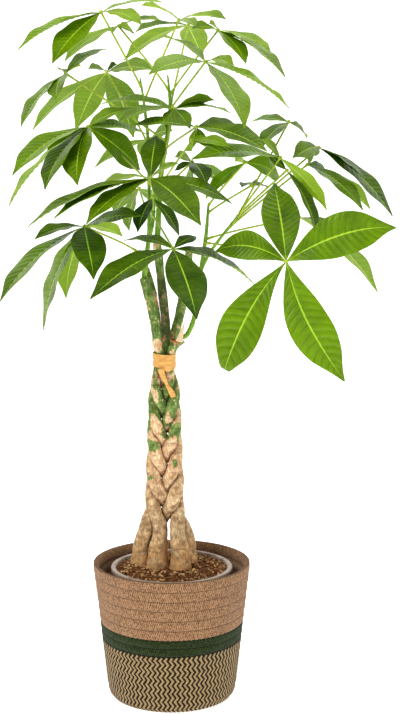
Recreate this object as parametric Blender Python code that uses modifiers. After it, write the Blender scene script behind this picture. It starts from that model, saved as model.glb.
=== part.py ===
"""Potted money tree: braided trunk, compound leaves, nursery pot and sewn rope basket.

Metres, +Z up. The origin is the centre of the basket's underside, and the plant's
front is on the -Y side. Run with: blender --background --python part.py
"""
import math

import bmesh
import bpy
from mathutils import Matrix, Vector

# ---- driving dimensions -------------------------------------------------------------
GAP = 0.0003              # left between two solids that touch
TURN_STEPS = 40           # flats round a turned piece
CURVE_WELD = 0.00001      # merges a drawn tube's caps
UNION_WELD = 0.0000001    # merges the doubles that a union leaves

RIM_RADIUS = 0.095        # basket, outside of the rim
RIM_HEIGHT = 0.164
BAND_TOP = 0.092          # the green band, between the tan wall and the zigzag base
BAND_BOTTOM = 0.073
BAND_TOP_RADIUS = 0.0865
BAND_BOTTOM_RADIUS = 0.0845
HEEL_RADIUS = 0.078       # where the wall turns in to the floor
HEEL_HEIGHT = 0.014
HEEL_ROUND = 0.003        # how far the heel has turned in at a third of its height
BASE_RADIUS = 0.068
ROPE_THICKNESS = 0.0065

POT_RIM_RADIUS = 0.073    # nursery pot
POT_RIM_HEIGHT = 0.158
POT_LIP_WIDTH = 0.006
POT_LIP_DEPTH = 0.005
POT_LIP_CHAMFER = 0.001
POT_BASE_RADIUS = 0.052
POT_WALL = 0.002
SOIL_EDGE = 0.1555
SOIL_TOP = 0.161
MOUND_RADIUS = 0.049

BRAID_HALF_WIDTH = 0.0155     # how far a stem's axis swings to each side
BRAID_HALF_DEPTH = 0.0122
BRAID_PERIOD = 0.181          # height of one full turn of the plait
BRAID_CENTRE_X = -0.008
BRAID_PHASE_HEIGHT = 0.365    # where the first stem crosses the middle
BRAID_TOP = 0.401             # the plait ends under the raffia tie
FEET_END = 0.172              # below this each stem has its own foot
FEET_START = 0.230
STEM_RADIUS = 0.0051
STEM_STEP = 0.0115            # height between a plaited stem's points
TIE_REACH = 0.035             # the plait narrows over this height below the tie
TIE_RADIUS_SCALE = 0.53       # the tie pulls the stems together
STEM_RADIUS_TIED = 0.0033
TIE_BOTTOM = 0.400
TIE_TOP = 0.416
TIE_INNER_RADIUS = 0.0128
TIE_THICKNESS = 0.0012

PETIOLE_RADIUS = 0.0011
PETIOLE_RISE = 0.02           # how far a leaf's stalk bows upwards, per length
PETIOLE_POINTS = 7
HUB_RADIUS = 0.0028
LEAF_THICKNESS = 0.0008
LEAF_CELLS = (4, 2)           # a leaflet's cells, along and across
LEAF_PROPORTION = 0.36        # a leaflet's width, per length
LEAF_ARCH = 0.075             # rise of a leaflet's midrib above its chord, per length
LEAF_FOLD = 0.10              # how far a leaflet's halves rise from the midrib, per width

# Each stem: foot (x, y, radius), then its bare top above the tie as (x, y, z, radius).
STEMS = {
    "stem_front_right": ((0.011, -0.014, 0.0090), [
        (0.003, -0.010, 0.425, 0.0045), (0.014, -0.010, 0.436, 0.0045)]),
    "stem_middle": ((-0.013, 0.017, 0.0065), [
        (-0.005, 0.000, 0.435, 0.0047), (-0.016, 0.002, 0.545, 0.0044)]),
    "stem_back_left": ((-0.036, 0.004, 0.0110), [
        (-0.014, 0.012, 0.430, 0.0045), (-0.021, 0.015, 0.480, 0.0045),
        (-0.029, 0.015, 0.510, 0.0044), (-0.040, 0.014, 0.535, 0.0042)]),
    "stem_front_left": ((-0.017, -0.010, 0.0085), [
        (-0.016, -0.012, 0.430, 0.0046), (-0.019, -0.014, 0.458, 0.0046),
        (-0.031, -0.015, 0.506, 0.0045)]),
    "stem_back_right": ((0.019, 0.0065, 0.0085), [
        (0.002, 0.008, 0.430, 0.0046), (0.013, 0.010, 0.475, 0.0046),
        (0.021, 0.012, 0.535, 0.0042)]),
}

# Green shoots: (x, y, z, radius) from the stem's cut top to the growing tip.
SHOOTS = {
    "shoot_left": [
        (-0.031, -0.015, 0.5075, 0.0030), (-0.026, -0.015, 0.545, 0.0027),
        (-0.020, -0.016, 0.578, 0.0024), (-0.020, -0.016, 0.622, 0.0016)],
    "shoot_back": [
        (-0.028, 0.0245, 0.520, 0.0022), (-0.026, 0.018, 0.560, 0.0021),
        (-0.026, 0.014, 0.655, 0.0019), (-0.030, 0.012, 0.700, 0.0017),
        (-0.035, 0.012, 0.735, 0.0008)],
    "shoot_middle": [
        (-0.016, 0.002, 0.5465, 0.0034), (-0.011, 0.001, 0.625, 0.0030),
        (-0.003, 0.000, 0.672, 0.0027), (0.000, 0.000, 0.700, 0.0023),
        (-0.003, 0.000, 0.738, 0.0008)],
    "shoot_right": [
        (0.017, -0.010, 0.4425, 0.0026), (0.028, -0.006, 0.463, 0.0026),
        (0.036, 0.000, 0.520, 0.0024), (0.041, 0.002, 0.555, 0.0021),
        (0.044, 0.002, 0.592, 0.0012)],
}
SIDE_SHOOT = [(0.035, 0.000, 0.514, 0.0020), (0.048, 0.000, 0.538, 0.0018), (0.080, 0.000, 0.580, 0.0012)]

UP = (0, 0, 1)
TO_FRONT = (0, -0.95, 0.3)

# The leaves. Each: the shoot or stem that it grows from, where its stalk starts, its hub,
# the way its face looks, and its leaflets. Each leaflet: (across, away, up) in millimetres
# from the hub to the tip, a twist about the midrib in degrees, then, where the midrib
# bends to one side, how far in millimetres.
LEAVES = {
    "leaf_top_left": ((-35, 12, 722), (-80, 20, 810), UP, [
        (-90, -55, -45, 0), (-50, -65, -60, -10), (45, 70, -10, -10), (70, 55, 15, 0)]),
    "leaf_top_back_left": ((-5, 0, 722), (-65, 120, 800), UP, [
        (-70, 50, -40, 0), (20, -40, -10, -50), (50, 50, 10, -10), (-5, -40, -10, 20)]),
    "leaf_far_left": ((-7, 0, 662), (-120, 0, 740), UP, [
        (45, 55, 30, 0), (-10, 35, 5, 10), (15, 35, 10, -40), (-45, -65, -60, 20), (-5, -70, -30, 30)]),
    "leaf_back_left": ((-26, 14, 655), (-80, 120, 745), UP, [
        (-95, 40, -70, 0), (-45, 65, -70, 20), (30, 70, -80, -10), (55, 70, 5, -30), (-25, 40, 5, 30),
        (10, 35, 10, -60)]),
    "leaf_front_left": ((-20, -16, 612), (-90, -70, 680), UP, [
        (-75, -85, -50, 0), (-5, -90, -60, 30), (55, 60, -50, 80), (-40, -85, -65, 20),
        (-95, 50, -90, -20), (65, 55, -10, 20), (50, 55, 20, 10), (-50, 55, -40, 0)]),
    "leaf_top_front": ((0, 0, 699), (40, -90, 750), UP, [
        (-60, -65, -15, -20), (-50, 60, 30, 10), (30, -50, -5, 20), (95, 55, -50, 20),
        (40, -85, -70, -20)]),
    "leaf_top_back": ((0, 0, 704), (20, 100, 800), UP, [
        (-65, 55, -5, 0), (-80, 40, -40, 10), (15, 85, -35, -10)]),
    "leaf_crown": ((-31, 12, 707), (10, 0, 800), UP, [
        (-45, 50, 20, 20), (55, 60, 5, -10), (20, -50, -10, 10)]),
    "leaf_top_right": ((-2, 0, 716), (55, 30, 790), UP, [
        (30, -65, -40, -10), (65, 60, -25, 0), (75, -65, -55, -10), (-30, -45, 0, -30),
        (-10, 35, 10, 50)]),
    "leaf_middle": ((-11, 1, 618), (5, -40, 700), UP, [
        (-60, -55, -15, -10), (-85, 30, 5, -10), (65, 55, -5, 10), (45, 45, 10, -40), (18, -40, -22, 20),
        (-8, -40, -22, 0)]),
    "leaf_upper_front": ((-4, 0, 655), (30, -90, 680), UP, [
        (-75, 30, 0, -20), (55, 55, -5, 30), (75, -60, -25, 20), (-5, 10, -25, 10), (10, 5, -22, 90)]),
    "leaf_young": ((-11, 1, 610), (25, -120, 665), UP, [
        (40, -45, -5, 20), (30, -35, -10, 10), (0, -35, -10, 60), (18, 12, 4, 50)]),
    "leaf_right": ((80, 0, 581), (125, -35, 645), UP, [
        (-100, -65, 0, -20), (54, 12, -60, -20), (-20, 40, 20, 70)]),
    "leaf_inner_right": ((44, 2, 590), (85, -40, 640), UP, [
        (-45, -20, -40, -20), (42, 65, -18, 70), (-10, 55, 0, 40)]),
    "leaf_right_low": ((75, 0, 576), (134, -8, 630), UP, [
        (37, 3, -78, 30), (-22, 5, 18, -60)]),
    "leaf_large_front": ((41, 1, 546), (125, -170, 540), TO_FRONT, [
        (-10, 55, 80, 0), (115, -5, 35, 0, -9), (60, -25, -125, 0, 8), (-65, -20, -115, 0, 7),
        (-75, 50, 5, 0, 10)]),
    "leaf_back_right": ((40, 1, 552), (155, 90, 570), UP, [
        (100, 25, -95, -10), (60, 55, -30, -10), (-35, 55, -25, 10)]),
    "leaf_low_front": ((-20, -16, 578), (5, -130, 550), UP, [
        (-85, -80, -45, -10), (25, -90, -65, 0), (-55, 50, 5, -10), (25, 40, 10, 20), (90, 60, -45, 20)]),
    "leaf_low_left": ((-40, 14, 535), (-95, -70, 570), UP, [
        (-50, -55, -10, -10), (-85, -80, -75, 10), (-50, 20, -120, -40), (-25, 40, -85, -20),
        (15, -90, -50, 0), (65, -55, 15, 30), (40, 55, -15, -20)]),
    "leaf_mid_front": ((-20, -16, 605), (-20, -110, 625), UP, [
        (-130, -40, -50, 0), (-100, -55, -40, 0), (-65, -70, -45, 0), (-55, 50, -10, 10), (5, 70, 45, 0),
        (55, -85, -45, 20), (90, 35, -30, 30), (30, 30, 15, -40)]),
    "leaf_back_low": ((-26, 18, 570), (-40, 90, 605), UP, [
        (-35, 65, -35, 0), (-15, 45, -55, -40), (20, 50, -25, 0)]),
    "leaf_small_left": ((-20, -16, 583), (-20, -40, 600), UP, [
        (-15, -45, -35, 10), (30, 20, -45, 60)]),
    "leaf_inner": ((-12, 1, 600), (25, -30, 640), UP, [
        (16, -60, -23, 0), (35, 65, -30, 0), (-20, 12, -10, -60), (5, 75, -30, -80), (-20, 45, 5, 50)]),
    "leaf_back_middle": ((-26, 15, 635), (-25, 80, 665), UP, [
        (-70, 30, -35, 10), (-10, 65, -30, 0), (25, 55, 10, -60)]),
    "leaf_outer_right": ((69, 0, 568), (175, 50, 655), UP, [
        (85, -30, -80, 10), (55, -35, -40, -10), (-35, -65, -10, -40), (-15, -35, -20, 90)]),
    "leaf_upper_right": ((80, 0, 581), (140, 70, 685), UP, [
        (-45, 45, 0, -20), (-35, -55, -30, 0), (25, 45, -20, 50)]),
    "leaf_right_back": ((63, 0, 559), (161, 42, 635), UP, [
        (80, 50, -55, 0), (60, -60, -50, 0), (30, 50, -15, 50)]),
    "leaf_small_right": ((44, 2, 582), (95, 50, 610), UP, [
        (22, 40, -5, 20), (-12, -40, 0, 0), (5, 50, 0, -20)]),
}


# ---- scene and materials -------------------------------------------------------------
def clear_scene():
    for old in list(bpy.data.objects):
        bpy.data.objects.remove(old, do_unlink=True)


def new_collection(name):
    made = bpy.data.collections.new(name)
    bpy.context.scene.collection.children.link(made)
    return made


def new_material(name, colour, roughness):
    made = bpy.data.materials.new(name)
    made.use_nodes = True
    shader = made.node_tree.nodes["Principled BSDF"]
    shader.inputs["Base Color"].default_value = (*colour, 1.0)
    shader.inputs["Roughness"].default_value = roughness
    shader.inputs["Metallic"].default_value = 0.0
    return made


def link_object(name, mesh, material, collection):
    made = bpy.data.objects.new(name, mesh)
    collection.objects.link(made)
    if material is not None:
        mesh.materials.clear()
        mesh.materials.append(material)
    return made


# ---- general shapes ------------------------------------------------------------------
def turned(name, profile, closed, material, collection):
    """A profile of (radius, height) points, outer side running down, turned about Z."""
    mesh = bpy.data.meshes.new(name)
    points = [(radius, 0.0, height) for radius, height in profile]
    edges = [(i, i + 1) for i in range(len(points) - 1)]
    if closed:
        edges.append((len(points) - 1, 0))
    mesh.from_pydata(points, edges, [])
    made = link_object(name, mesh, material, collection)
    screw = made.modifiers.new("turn", "SCREW")
    screw.steps = TURN_STEPS
    screw.render_steps = TURN_STEPS
    screw.use_merge_vertices = True
    screw.merge_threshold = 0.00005
    screw.use_smooth_shade = True
    return made


def smooth_route(points, count):
    """Points spread evenly along a Catmull-Rom curve through the given (x, y, z, radius)."""
    ends = [points[0], *points, points[-1]]
    route = []
    spans = len(points) - 1
    for i in range(count):
        place = i / (count - 1) * spans
        span = min(int(place), spans - 1)
        t = place - span
        a, b, c, d = ends[span:span + 4]
        route.append(tuple(
            0.5 * (2 * q + (r - p) * t + (2 * p - 5 * q + 4 * r - s) * t ** 2
                   + (3 * q - p - 3 * r + s) * t ** 3)
            for p, q, r, s in zip(a, b, c, d)))
    return route


def tube(name, route, sides_level, material, collection):
    """A closed tube along a route of (x, y, z, radius), as a welded mesh."""
    curve = bpy.data.curves.new(name, "CURVE")
    curve.dimensions = "3D"
    curve.bevel_depth = 1.0
    curve.bevel_resolution = sides_level
    curve.use_fill_caps = True
    curve.twist_mode = "MINIMUM"
    spline = curve.splines.new("POLY")
    spline.points.add(len(route) - 1)
    for point, (x, y, z, radius) in zip(spline.points, route):
        point.co = (x, y, z, 1.0)
        point.radius = radius
    drawn = bpy.data.objects.new(name + "_curve", curve)
    collection.objects.link(drawn)
    bpy.context.view_layer.update()
    evaluated = drawn.evaluated_get(bpy.context.evaluated_depsgraph_get())
    mesh = bpy.data.meshes.new_from_object(evaluated)
    mesh.name = name
    bpy.data.objects.remove(drawn, do_unlink=True)
    weld(mesh, CURVE_WELD)
    return link_object(name, mesh, material, collection)


def weld(mesh, distance):
    work = bmesh.new()
    work.from_mesh(mesh)
    bmesh.ops.remove_doubles(work, verts=work.verts, dist=distance)
    face_outwards(work)
    work.to_mesh(mesh)
    work.free()


def face_outwards(work):
    """Turn a closed mesh's faces the same way, and outwards by the sign of its volume."""
    bmesh.ops.recalc_face_normals(work, faces=work.faces)
    if work.calc_volume(signed=True) < 0:
        bmesh.ops.reverse_faces(work, faces=work.faces)


def fuse(name, pieces, solver, material, collection):
    """One closed body from overlapping pieces, by a Boolean union onto the first."""
    body = pieces[0]
    for other in pieces[1:]:
        joined = body.modifiers.new("join", "BOOLEAN")
        joined.operation = "UNION"
        joined.solver = solver
        joined.object = other
        bpy.context.view_layer.update()
        evaluated = body.evaluated_get(bpy.context.evaluated_depsgraph_get())
        mesh = bpy.data.meshes.new_from_object(evaluated)
        body.modifiers.clear()
        body.data = mesh
        bpy.data.objects.remove(other, do_unlink=True)
    weld(body.data, UNION_WELD)
    made = link_object(name, body.data.copy(), material, collection)
    bpy.data.objects.remove(body, do_unlink=True)
    made.data.name = name
    return made


# ---- basket, pot and soil ------------------------------------------------------------
def wall_radius(height):
    """The basket's outer radius at a height."""
    stations = [(HEEL_HEIGHT, HEEL_RADIUS), (BAND_BOTTOM, BAND_BOTTOM_RADIUS),
                (BAND_TOP, BAND_TOP_RADIUS), (RIM_HEIGHT, RIM_RADIUS)]
    for (low, low_radius), (high, high_radius) in zip(stations, stations[1:]):
        if height <= high:
            return low_radius + (high_radius - low_radius) * (height - low) / (high - low)
    return RIM_RADIUS


def basket_ring(name, bottom, top, rounded_top, material, collection):
    inner = ROPE_THICKNESS
    crown = ROPE_THICKNESS / 3 if rounded_top else 0.0
    profile = [(wall_radius(top) - crown, top), (wall_radius(top - crown), top - crown)]
    if not rounded_top:
        profile = [(wall_radius(top), top)]
    profile.append((wall_radius(bottom), bottom))
    profile.append((wall_radius(bottom) - inner, bottom))
    if rounded_top:
        profile.append((wall_radius(top) - inner, top - crown))
        profile.append((wall_radius(top) - inner + crown, top))
    else:
        profile.append((wall_radius(top) - inner, top))
    return turned(name, profile, True, material, collection)


def basket_base(name, top, material, collection):
    inner = ROPE_THICKNESS
    profile = [(0.0, inner), (HEEL_RADIUS - 2 * inner, inner),
               (HEEL_RADIUS - inner, HEEL_HEIGHT + inner / 2),
               (wall_radius(top) - inner, top), (wall_radius(top), top),
               (HEEL_RADIUS, HEEL_HEIGHT), (HEEL_RADIUS - HEEL_ROUND, HEEL_HEIGHT / 3),
               (BASE_RADIUS, 0.0), (0.0, 0.0)]
    return turned(name, profile, False, material, collection)


def nursery_pot(material, collection):
    floor = ROPE_THICKNESS + GAP
    lip_inside = POT_RIM_RADIUS - POT_LIP_WIDTH
    lip_foot = POT_RIM_HEIGHT - POT_LIP_DEPTH
    profile = [(0.0, floor + POT_WALL), (POT_BASE_RADIUS - POT_WALL, floor + POT_WALL),
               (lip_inside, POT_RIM_HEIGHT), (POT_RIM_RADIUS - POT_LIP_CHAMFER, POT_RIM_HEIGHT),
               (POT_RIM_RADIUS, POT_RIM_HEIGHT - POT_LIP_CHAMFER), (POT_RIM_RADIUS, lip_foot),
               (pot_outer_radius(lip_foot), lip_foot), (POT_BASE_RADIUS, floor), (0.0, floor)]
    return turned("nursery_pot", profile, False, material, collection)


def pot_inner_radius(height):
    floor = ROPE_THICKNESS + GAP + POT_WALL
    low = POT_BASE_RADIUS - POT_WALL
    high = POT_RIM_RADIUS - POT_LIP_WIDTH
    return low + (high - low) * (height - floor) / (POT_RIM_HEIGHT - floor)


def pot_outer_radius(height):
    return pot_inner_radius(height) + POT_WALL


def potting_soil(material, collection):
    floor = ROPE_THICKNESS + 2 * GAP + POT_WALL
    profile = [(0.0, SOIL_TOP), (MOUND_RADIUS, SOIL_TOP), (pot_inner_radius(SOIL_EDGE) - GAP * 2, SOIL_EDGE),
               (pot_inner_radius(floor) - GAP * 2, floor), (0.0, floor)]
    return turned("potting_soil", profile, False, material, collection)


# ---- trunk ---------------------------------------------------------------------------
def ease(value, low, high):
    t = min(max((value - low) / (high - low), 0.0), 1.0)
    return t * t * (3 - 2 * t)


def braid_point(index, height):
    """Axis of one stem in the five-strand plait: a flat figure of eight, 72 degrees apart."""
    turn = math.tau * (BRAID_PHASE_HEIGHT - min(height, BRAID_TOP)) / BRAID_PERIOD
    angle = turn + math.pi / 2 + index * math.tau / 5
    pulled = ease(height, BRAID_TOP - TIE_REACH, BRAID_TOP)
    tied = 1 - (1 - TIE_RADIUS_SCALE) * pulled
    across = BRAID_CENTRE_X + BRAID_HALF_WIDTH * tied * math.cos(angle)
    away = -BRAID_HALF_DEPTH * tied * math.sin(2 * angle)
    radius = STEM_RADIUS + (STEM_RADIUS_TIED - STEM_RADIUS) * pulled
    return across, away, radius


def stem_route(index, foot, top):
    route = []
    start = SOIL_TOP + GAP
    count = int((TIE_TOP - start) / STEM_STEP)
    for i in range(count + 1):
        height = start + (TIE_TOP - start) * i / count
        across, away, radius = braid_point(index, height)
        free = ease(height, FEET_END, FEET_START)
        swell = 1 - ease(height, start, FEET_START)
        route.append((foot[0] + (across - foot[0]) * free, foot[1] + (away - foot[1]) * free,
                      height, radius + (foot[2] - radius) * swell))
    return route + smooth_route([route[-1], *top], 3 * len(top) + 1)[1:]


def trunk(material, collection):
    for index, (name, (foot, top)) in enumerate(STEMS.items()):
        tube(name, stem_route(index, foot, top), 2, material, collection)


def raffia_tie(material, collection):
    inside = TIE_INNER_RADIUS
    outside = TIE_INNER_RADIUS + TIE_THICKNESS
    profile = [(outside, TIE_TOP), (outside, TIE_BOTTOM), (inside, TIE_BOTTOM), (inside, TIE_TOP)]
    tie = turned("raffia_tie", profile, True, material, collection)
    tie.location = (BRAID_CENTRE_X, 0.0, 0.0)


# ---- shoots and leaves ---------------------------------------------------------------
def green_shoots(material, collection, guides):
    for name, points in SHOOTS.items():
        route = smooth_route(points, 3 * len(points))
        if name == "shoot_right":
            upright = tube("upright_shoot", route, 1, None, guides)
            side = tube("side_shoot", smooth_route(SIDE_SHOOT, 2 * len(SIDE_SHOOT)), 1, None, guides)
            fuse(name, [upright, side], "EXACT", material, collection)
        else:
            tube(name, route, 1, material, collection)


def leaflet(hub, chord, twist, bend, face, collection):
    """A blade with a narrow foot, widest past the middle, arched along its midrib."""
    length = chord.length
    width = LEAF_PROPORTION * length
    along = chord.normalized()
    side = along.cross(face).normalized()
    normal = side.cross(along)
    turn = Matrix.Rotation(math.radians(twist), 3, along)
    side = turn @ side
    normal = turn @ normal
    work = bmesh.new()
    bmesh.ops.create_grid(work, x_segments=LEAF_CELLS[0], y_segments=LEAF_CELLS[1], size=0.5)
    for vert in work.verts:
        t = (vert.co.x + 0.5) ** 1.15     # cells a little closer together near the foot
        s = vert.co.y * 2
        half = 0.5 * width * blade_width(t)
        bump = 4 * t * (1 - t)
        rise = LEAF_ARCH * length * bump + LEAF_FOLD * width * abs(s) * blade_width(t)
        start = 0.5 * HUB_RADIUS
        reach = start + t * (length - start)
        vert.co = hub + along * reach + side * (s * half + bend * bump) + normal * rise
    work.normal_update()
    bmesh.ops.solidify(work, geom=work.faces[:], thickness=LEAF_THICKNESS)
    face_outwards(work)
    mesh = bpy.data.meshes.new("leaflet")
    work.to_mesh(mesh)
    work.free()
    return link_object("leaflet", mesh, None, collection)


def blade_width(t):
    """Share of the full width at a place along the blade, 0 at the foot and 1 at the tip."""
    shape = math.sin(math.pi * min(t, 1.0) ** 1.1) ** 0.85 if 0 < t < 1 else 0.0
    return 0.05 + 0.95 * shape


def hub_ball(hub, collection):
    work = bmesh.new()
    bmesh.ops.create_uvsphere(work, u_segments=8, v_segments=5, radius=HUB_RADIUS,
                              matrix=Matrix.Translation(hub))
    mesh = bpy.data.meshes.new("hub")
    work.to_mesh(mesh)
    work.free()
    return link_object("hub", mesh, None, collection)


def petiole_route(start, hub):
    """From the shoot's side up and over to the hub, first steep and then straighter."""
    reach = hub - start
    rise = Vector((0, 0, 1)) * reach.length * PETIOLE_RISE
    route = []
    for i in range(PETIOLE_POINTS):
        t = i / (PETIOLE_POINTS - 1)
        point = start + reach * t + rise * 4 * t * (1 - t) * (1 - t)
        route.append((*point, PETIOLE_RADIUS))
    return route


def compound_leaf(name, start, hub, face, leaflets, material, guides, collection):
    hub = Vector(hub) / 1000
    start = attach_point(Vector(start) / 1000, hub)
    pieces = [hub_ball(hub, guides), tube("petiole", petiole_route(start, hub), 1, None, guides)]
    for across, away, up, twist, *bend in leaflets:
        chord = Vector((across, away, up)) / 1000
        pieces.append(leaflet(hub, chord, twist, sum(bend) / 1000, Vector(face).normalized(), guides))
    fuse(name, pieces, "MANIFOLD", material, collection)     # EXACT drops blades this thin


def attach_point(start, hub):
    """Where a stalk starts: beside the nearest shoot or stem, on the side of its hub."""
    best = None
    for points in [*SHOOTS.values(), SIDE_SHOOT, STEMS["stem_back_left"][1]]:
        route = smooth_route(points, 30)
        for here, after in zip(route, route[1:]):
            distance = (Vector(here[:3]) - start).length
            if best is None or distance < best[0]:
                best = (distance, Vector(here[:3]), Vector(after[:3]), here[3])
    axis_point, next_point, radius = best[1:]
    tangent = (next_point - axis_point).normalized()
    lean = hub - axis_point
    lean = (lean - tangent * lean.dot(tangent)).normalized()
    return axis_point + lean * (radius + PETIOLE_RADIUS + 3 * GAP)


def main():
    clear_scene()
    tree = new_collection("potted_money_tree")
    guides = new_collection("guides")
    tan_rope = new_material("tan_rope", (0.52, 0.29, 0.14), 0.9)
    green_rope = new_material("green_rope", (0.026, 0.06, 0.017), 0.9)
    zigzag_rope = new_material("zigzag_rope", (0.28, 0.19, 0.09), 0.9)
    pot_plastic = new_material("pot_plastic", (0.62, 0.60, 0.56), 0.5)
    soil = new_material("soil", (0.06, 0.035, 0.02), 1.0)
    bark = new_material("bark", (0.42, 0.28, 0.16), 0.8)
    raffia = new_material("raffia", (0.75, 0.40, 0.16), 0.6)
    shoot_green = new_material("shoot_green", (0.20, 0.38, 0.04), 0.5)
    leaf_green = new_material("leaf_green", (0.10, 0.30, 0.01), 0.4)

    basket_ring("basket_tan_wall", BAND_TOP + GAP, RIM_HEIGHT, True, tan_rope, tree)
    basket_ring("basket_green_band", BAND_BOTTOM + GAP, BAND_TOP, False, green_rope, tree)
    basket_base("basket_zigzag_base", BAND_BOTTOM, zigzag_rope, tree)
    nursery_pot(pot_plastic, tree)
    potting_soil(soil, tree)
    trunk(bark, tree)
    raffia_tie(raffia, tree)
    green_shoots(shoot_green, tree, guides)
    for name, (start, hub, face, leaflets) in LEAVES.items():
        compound_leaf(name, start, hub, face, leaflets, leaf_green, guides, tree)
    bpy.data.collections.remove(guides)


main()
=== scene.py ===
import math
import random

import bpy
import numpy as np
from mathutils import Matrix, Vector


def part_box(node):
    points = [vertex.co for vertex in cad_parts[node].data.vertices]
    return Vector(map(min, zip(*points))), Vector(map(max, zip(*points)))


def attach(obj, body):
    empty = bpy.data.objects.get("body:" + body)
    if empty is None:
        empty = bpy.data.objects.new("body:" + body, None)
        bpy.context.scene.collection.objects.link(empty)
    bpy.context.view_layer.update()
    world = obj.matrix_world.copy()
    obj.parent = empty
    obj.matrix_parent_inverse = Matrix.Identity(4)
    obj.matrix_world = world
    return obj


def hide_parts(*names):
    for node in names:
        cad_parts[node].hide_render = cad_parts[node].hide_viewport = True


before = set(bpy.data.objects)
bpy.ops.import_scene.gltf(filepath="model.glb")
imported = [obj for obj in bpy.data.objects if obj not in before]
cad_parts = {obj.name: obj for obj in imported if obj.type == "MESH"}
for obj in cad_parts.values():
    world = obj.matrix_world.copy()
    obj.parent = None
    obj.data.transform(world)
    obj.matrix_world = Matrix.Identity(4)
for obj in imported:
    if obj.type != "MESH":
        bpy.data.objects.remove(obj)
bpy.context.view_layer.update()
mm = 0.001
print("frame loaded:", len(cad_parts), "nodes")


# small helpers for objects

def selectOnly(*objects):
    bpy.ops.object.select_all(action="DESELECT")
    for one in objects:
        one.select_set(True)
    bpy.context.view_layer.objects.active = objects[0]


def applyModifiers(piece):
    selectOnly(piece)
    for modifier in list(piece.modifiers):
        bpy.ops.object.modifier_apply(modifier=modifier.name)


def joinPieces(first, *others):
    selectOnly(first, *others)
    bpy.ops.object.join()
    return first


def shadeRound(piece, degrees=50):
    selectOnly(piece)
    bpy.ops.object.shade_smooth_by_angle(angle=math.radians(degrees))


def settle(piece):
    # the place goes into the mesh, and the object stays at the origin
    selectOnly(piece)
    bpy.ops.object.transform_apply(location=True, rotation=True, scale=True)


def finishPiece(piece, name, slotName, *nodes):
    piece.name = name
    piece.data.name = name
    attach(piece, "root")
    if nodes:
        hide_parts(*nodes)
    return piece


def readPoints(mesh):
    points = np.empty(len(mesh.vertices) * 3, dtype=np.float32)
    mesh.vertices.foreach_get("co", points)
    return points.reshape(-1, 3).astype(float)


def writePoints(mesh, points):
    mesh.vertices.foreach_set("co", np.ascontiguousarray(points, dtype=np.float32).ravel())
    mesh.update()


def setToneAndShade(mesh, value):
    # one number a point, which the materials read as a light or dark share: the soil bits' own paler or
    # darker colour, painted shade in the bark's crevices and on the middle stem above the tie, and on the
    # leaves partly their own paler or deeper green and partly painted light and shade
    tone = mesh.attributes.get("tone") or mesh.attributes.new("tone", "FLOAT", "POINT")
    values = np.broadcast_to(np.asarray(value, dtype=np.float32), len(mesh.vertices))
    tone.data.foreach_set("value", np.ascontiguousarray(values))


def smoothStep(value, low, high):
    t = np.clip((value - low) / (high - low), 0.0, 1.0)
    return t * t * (3 - 2 * t)


def smoothRoute(points, count):
    # Catmull-Rom through (x, y, z, radius)
    ends = [points[0], *points, points[-1]]
    spans = len(points) - 1
    route = []
    for i in range(count):
        place = i / (count - 1) * spans
        span = min(int(place), spans - 1)
        t = place - span
        a, b, c, d = ends[span:span + 4]
        route.append(tuple(
            0.5 * (2 * q + (r - p) * t + (2 * p - 5 * q + 4 * r - s) * t ** 2
                   + (3 * q - p - 3 * r + s) * t ** 3)
            for p, q, r, s in zip(a, b, c, d)))
    return route


def drawTube(route, resolution, material):
    # a capped tube along (x, y, z, radius), drawn as a curve and turned into a mesh
    curve = bpy.data.curves.new("tube", "CURVE")
    curve.dimensions = "3D"
    curve.bevel_depth = 1.0
    curve.bevel_resolution = resolution
    curve.use_fill_caps = True
    curve.twist_mode = "MINIMUM"
    spline = curve.splines.new("POLY")
    spline.points.add(len(route) - 1)
    for point, (x, y, z, radius) in zip(spline.points, route):
        point.co = (x, y, z, 1.0)
        point.radius = radius
    piece = bpy.data.objects.new("tube", curve)
    bpy.context.collection.objects.link(piece)
    selectOnly(piece)
    bpy.ops.object.convert(target="MESH")
    piece = bpy.context.object
    bpy.ops.object.mode_set(mode="EDIT")
    bpy.ops.mesh.select_all(action="SELECT")
    bpy.ops.mesh.remove_doubles(threshold=0.00001)
    bpy.ops.mesh.normals_make_consistent(inside=False)
    bpy.ops.object.mode_set(mode="OBJECT")
    piece.data.materials.clear()
    piece.data.materials.append(material)
    return piece


# small helpers for materials

def srgb(red, green, blue):
    def linear(value):
        value /= 255
        return value / 12.92 if value <= 0.04045 else ((value + 0.055) / 1.055) ** 2.4
    return (linear(red), linear(green), linear(blue), 1.0)


def startMaterial(name, roughness, specular=0.5):
    made = bpy.data.materials.new(name)
    made.use_nodes = True
    shader = made.node_tree.nodes["Principled BSDF"]
    shader.inputs["Roughness"].default_value = roughness
    shader.inputs["Specular IOR Level"].default_value = specular
    return made, made.node_tree, shader


def plug(tree, value, socket):
    if isinstance(value, bpy.types.NodeSocket):
        tree.links.new(value, socket)
    else:
        socket.default_value = value


def calc(tree, operation, *values):
    node = tree.nodes.new("ShaderNodeMath")
    node.operation = operation
    for value, socket in zip(values, node.inputs):
        plug(tree, value, socket)
    return node.outputs[0]


def softStep(tree, value, low, high):
    node = tree.nodes.new("ShaderNodeMapRange")
    node.interpolation_type = "SMOOTHSTEP"
    plug(tree, value, node.inputs["Value"])
    plug(tree, low, node.inputs["From Min"])
    plug(tree, high, node.inputs["From Max"])
    return node.outputs["Result"]


def mixColours(tree, factor, first, second, mode="MIX"):
    node = tree.nodes.new("ShaderNodeMix")
    node.data_type = "RGBA"
    node.blend_type = mode
    plug(tree, factor, node.inputs[0])
    plug(tree, first, node.inputs[6])
    plug(tree, second, node.inputs[7])
    return node.outputs[2]


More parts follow.
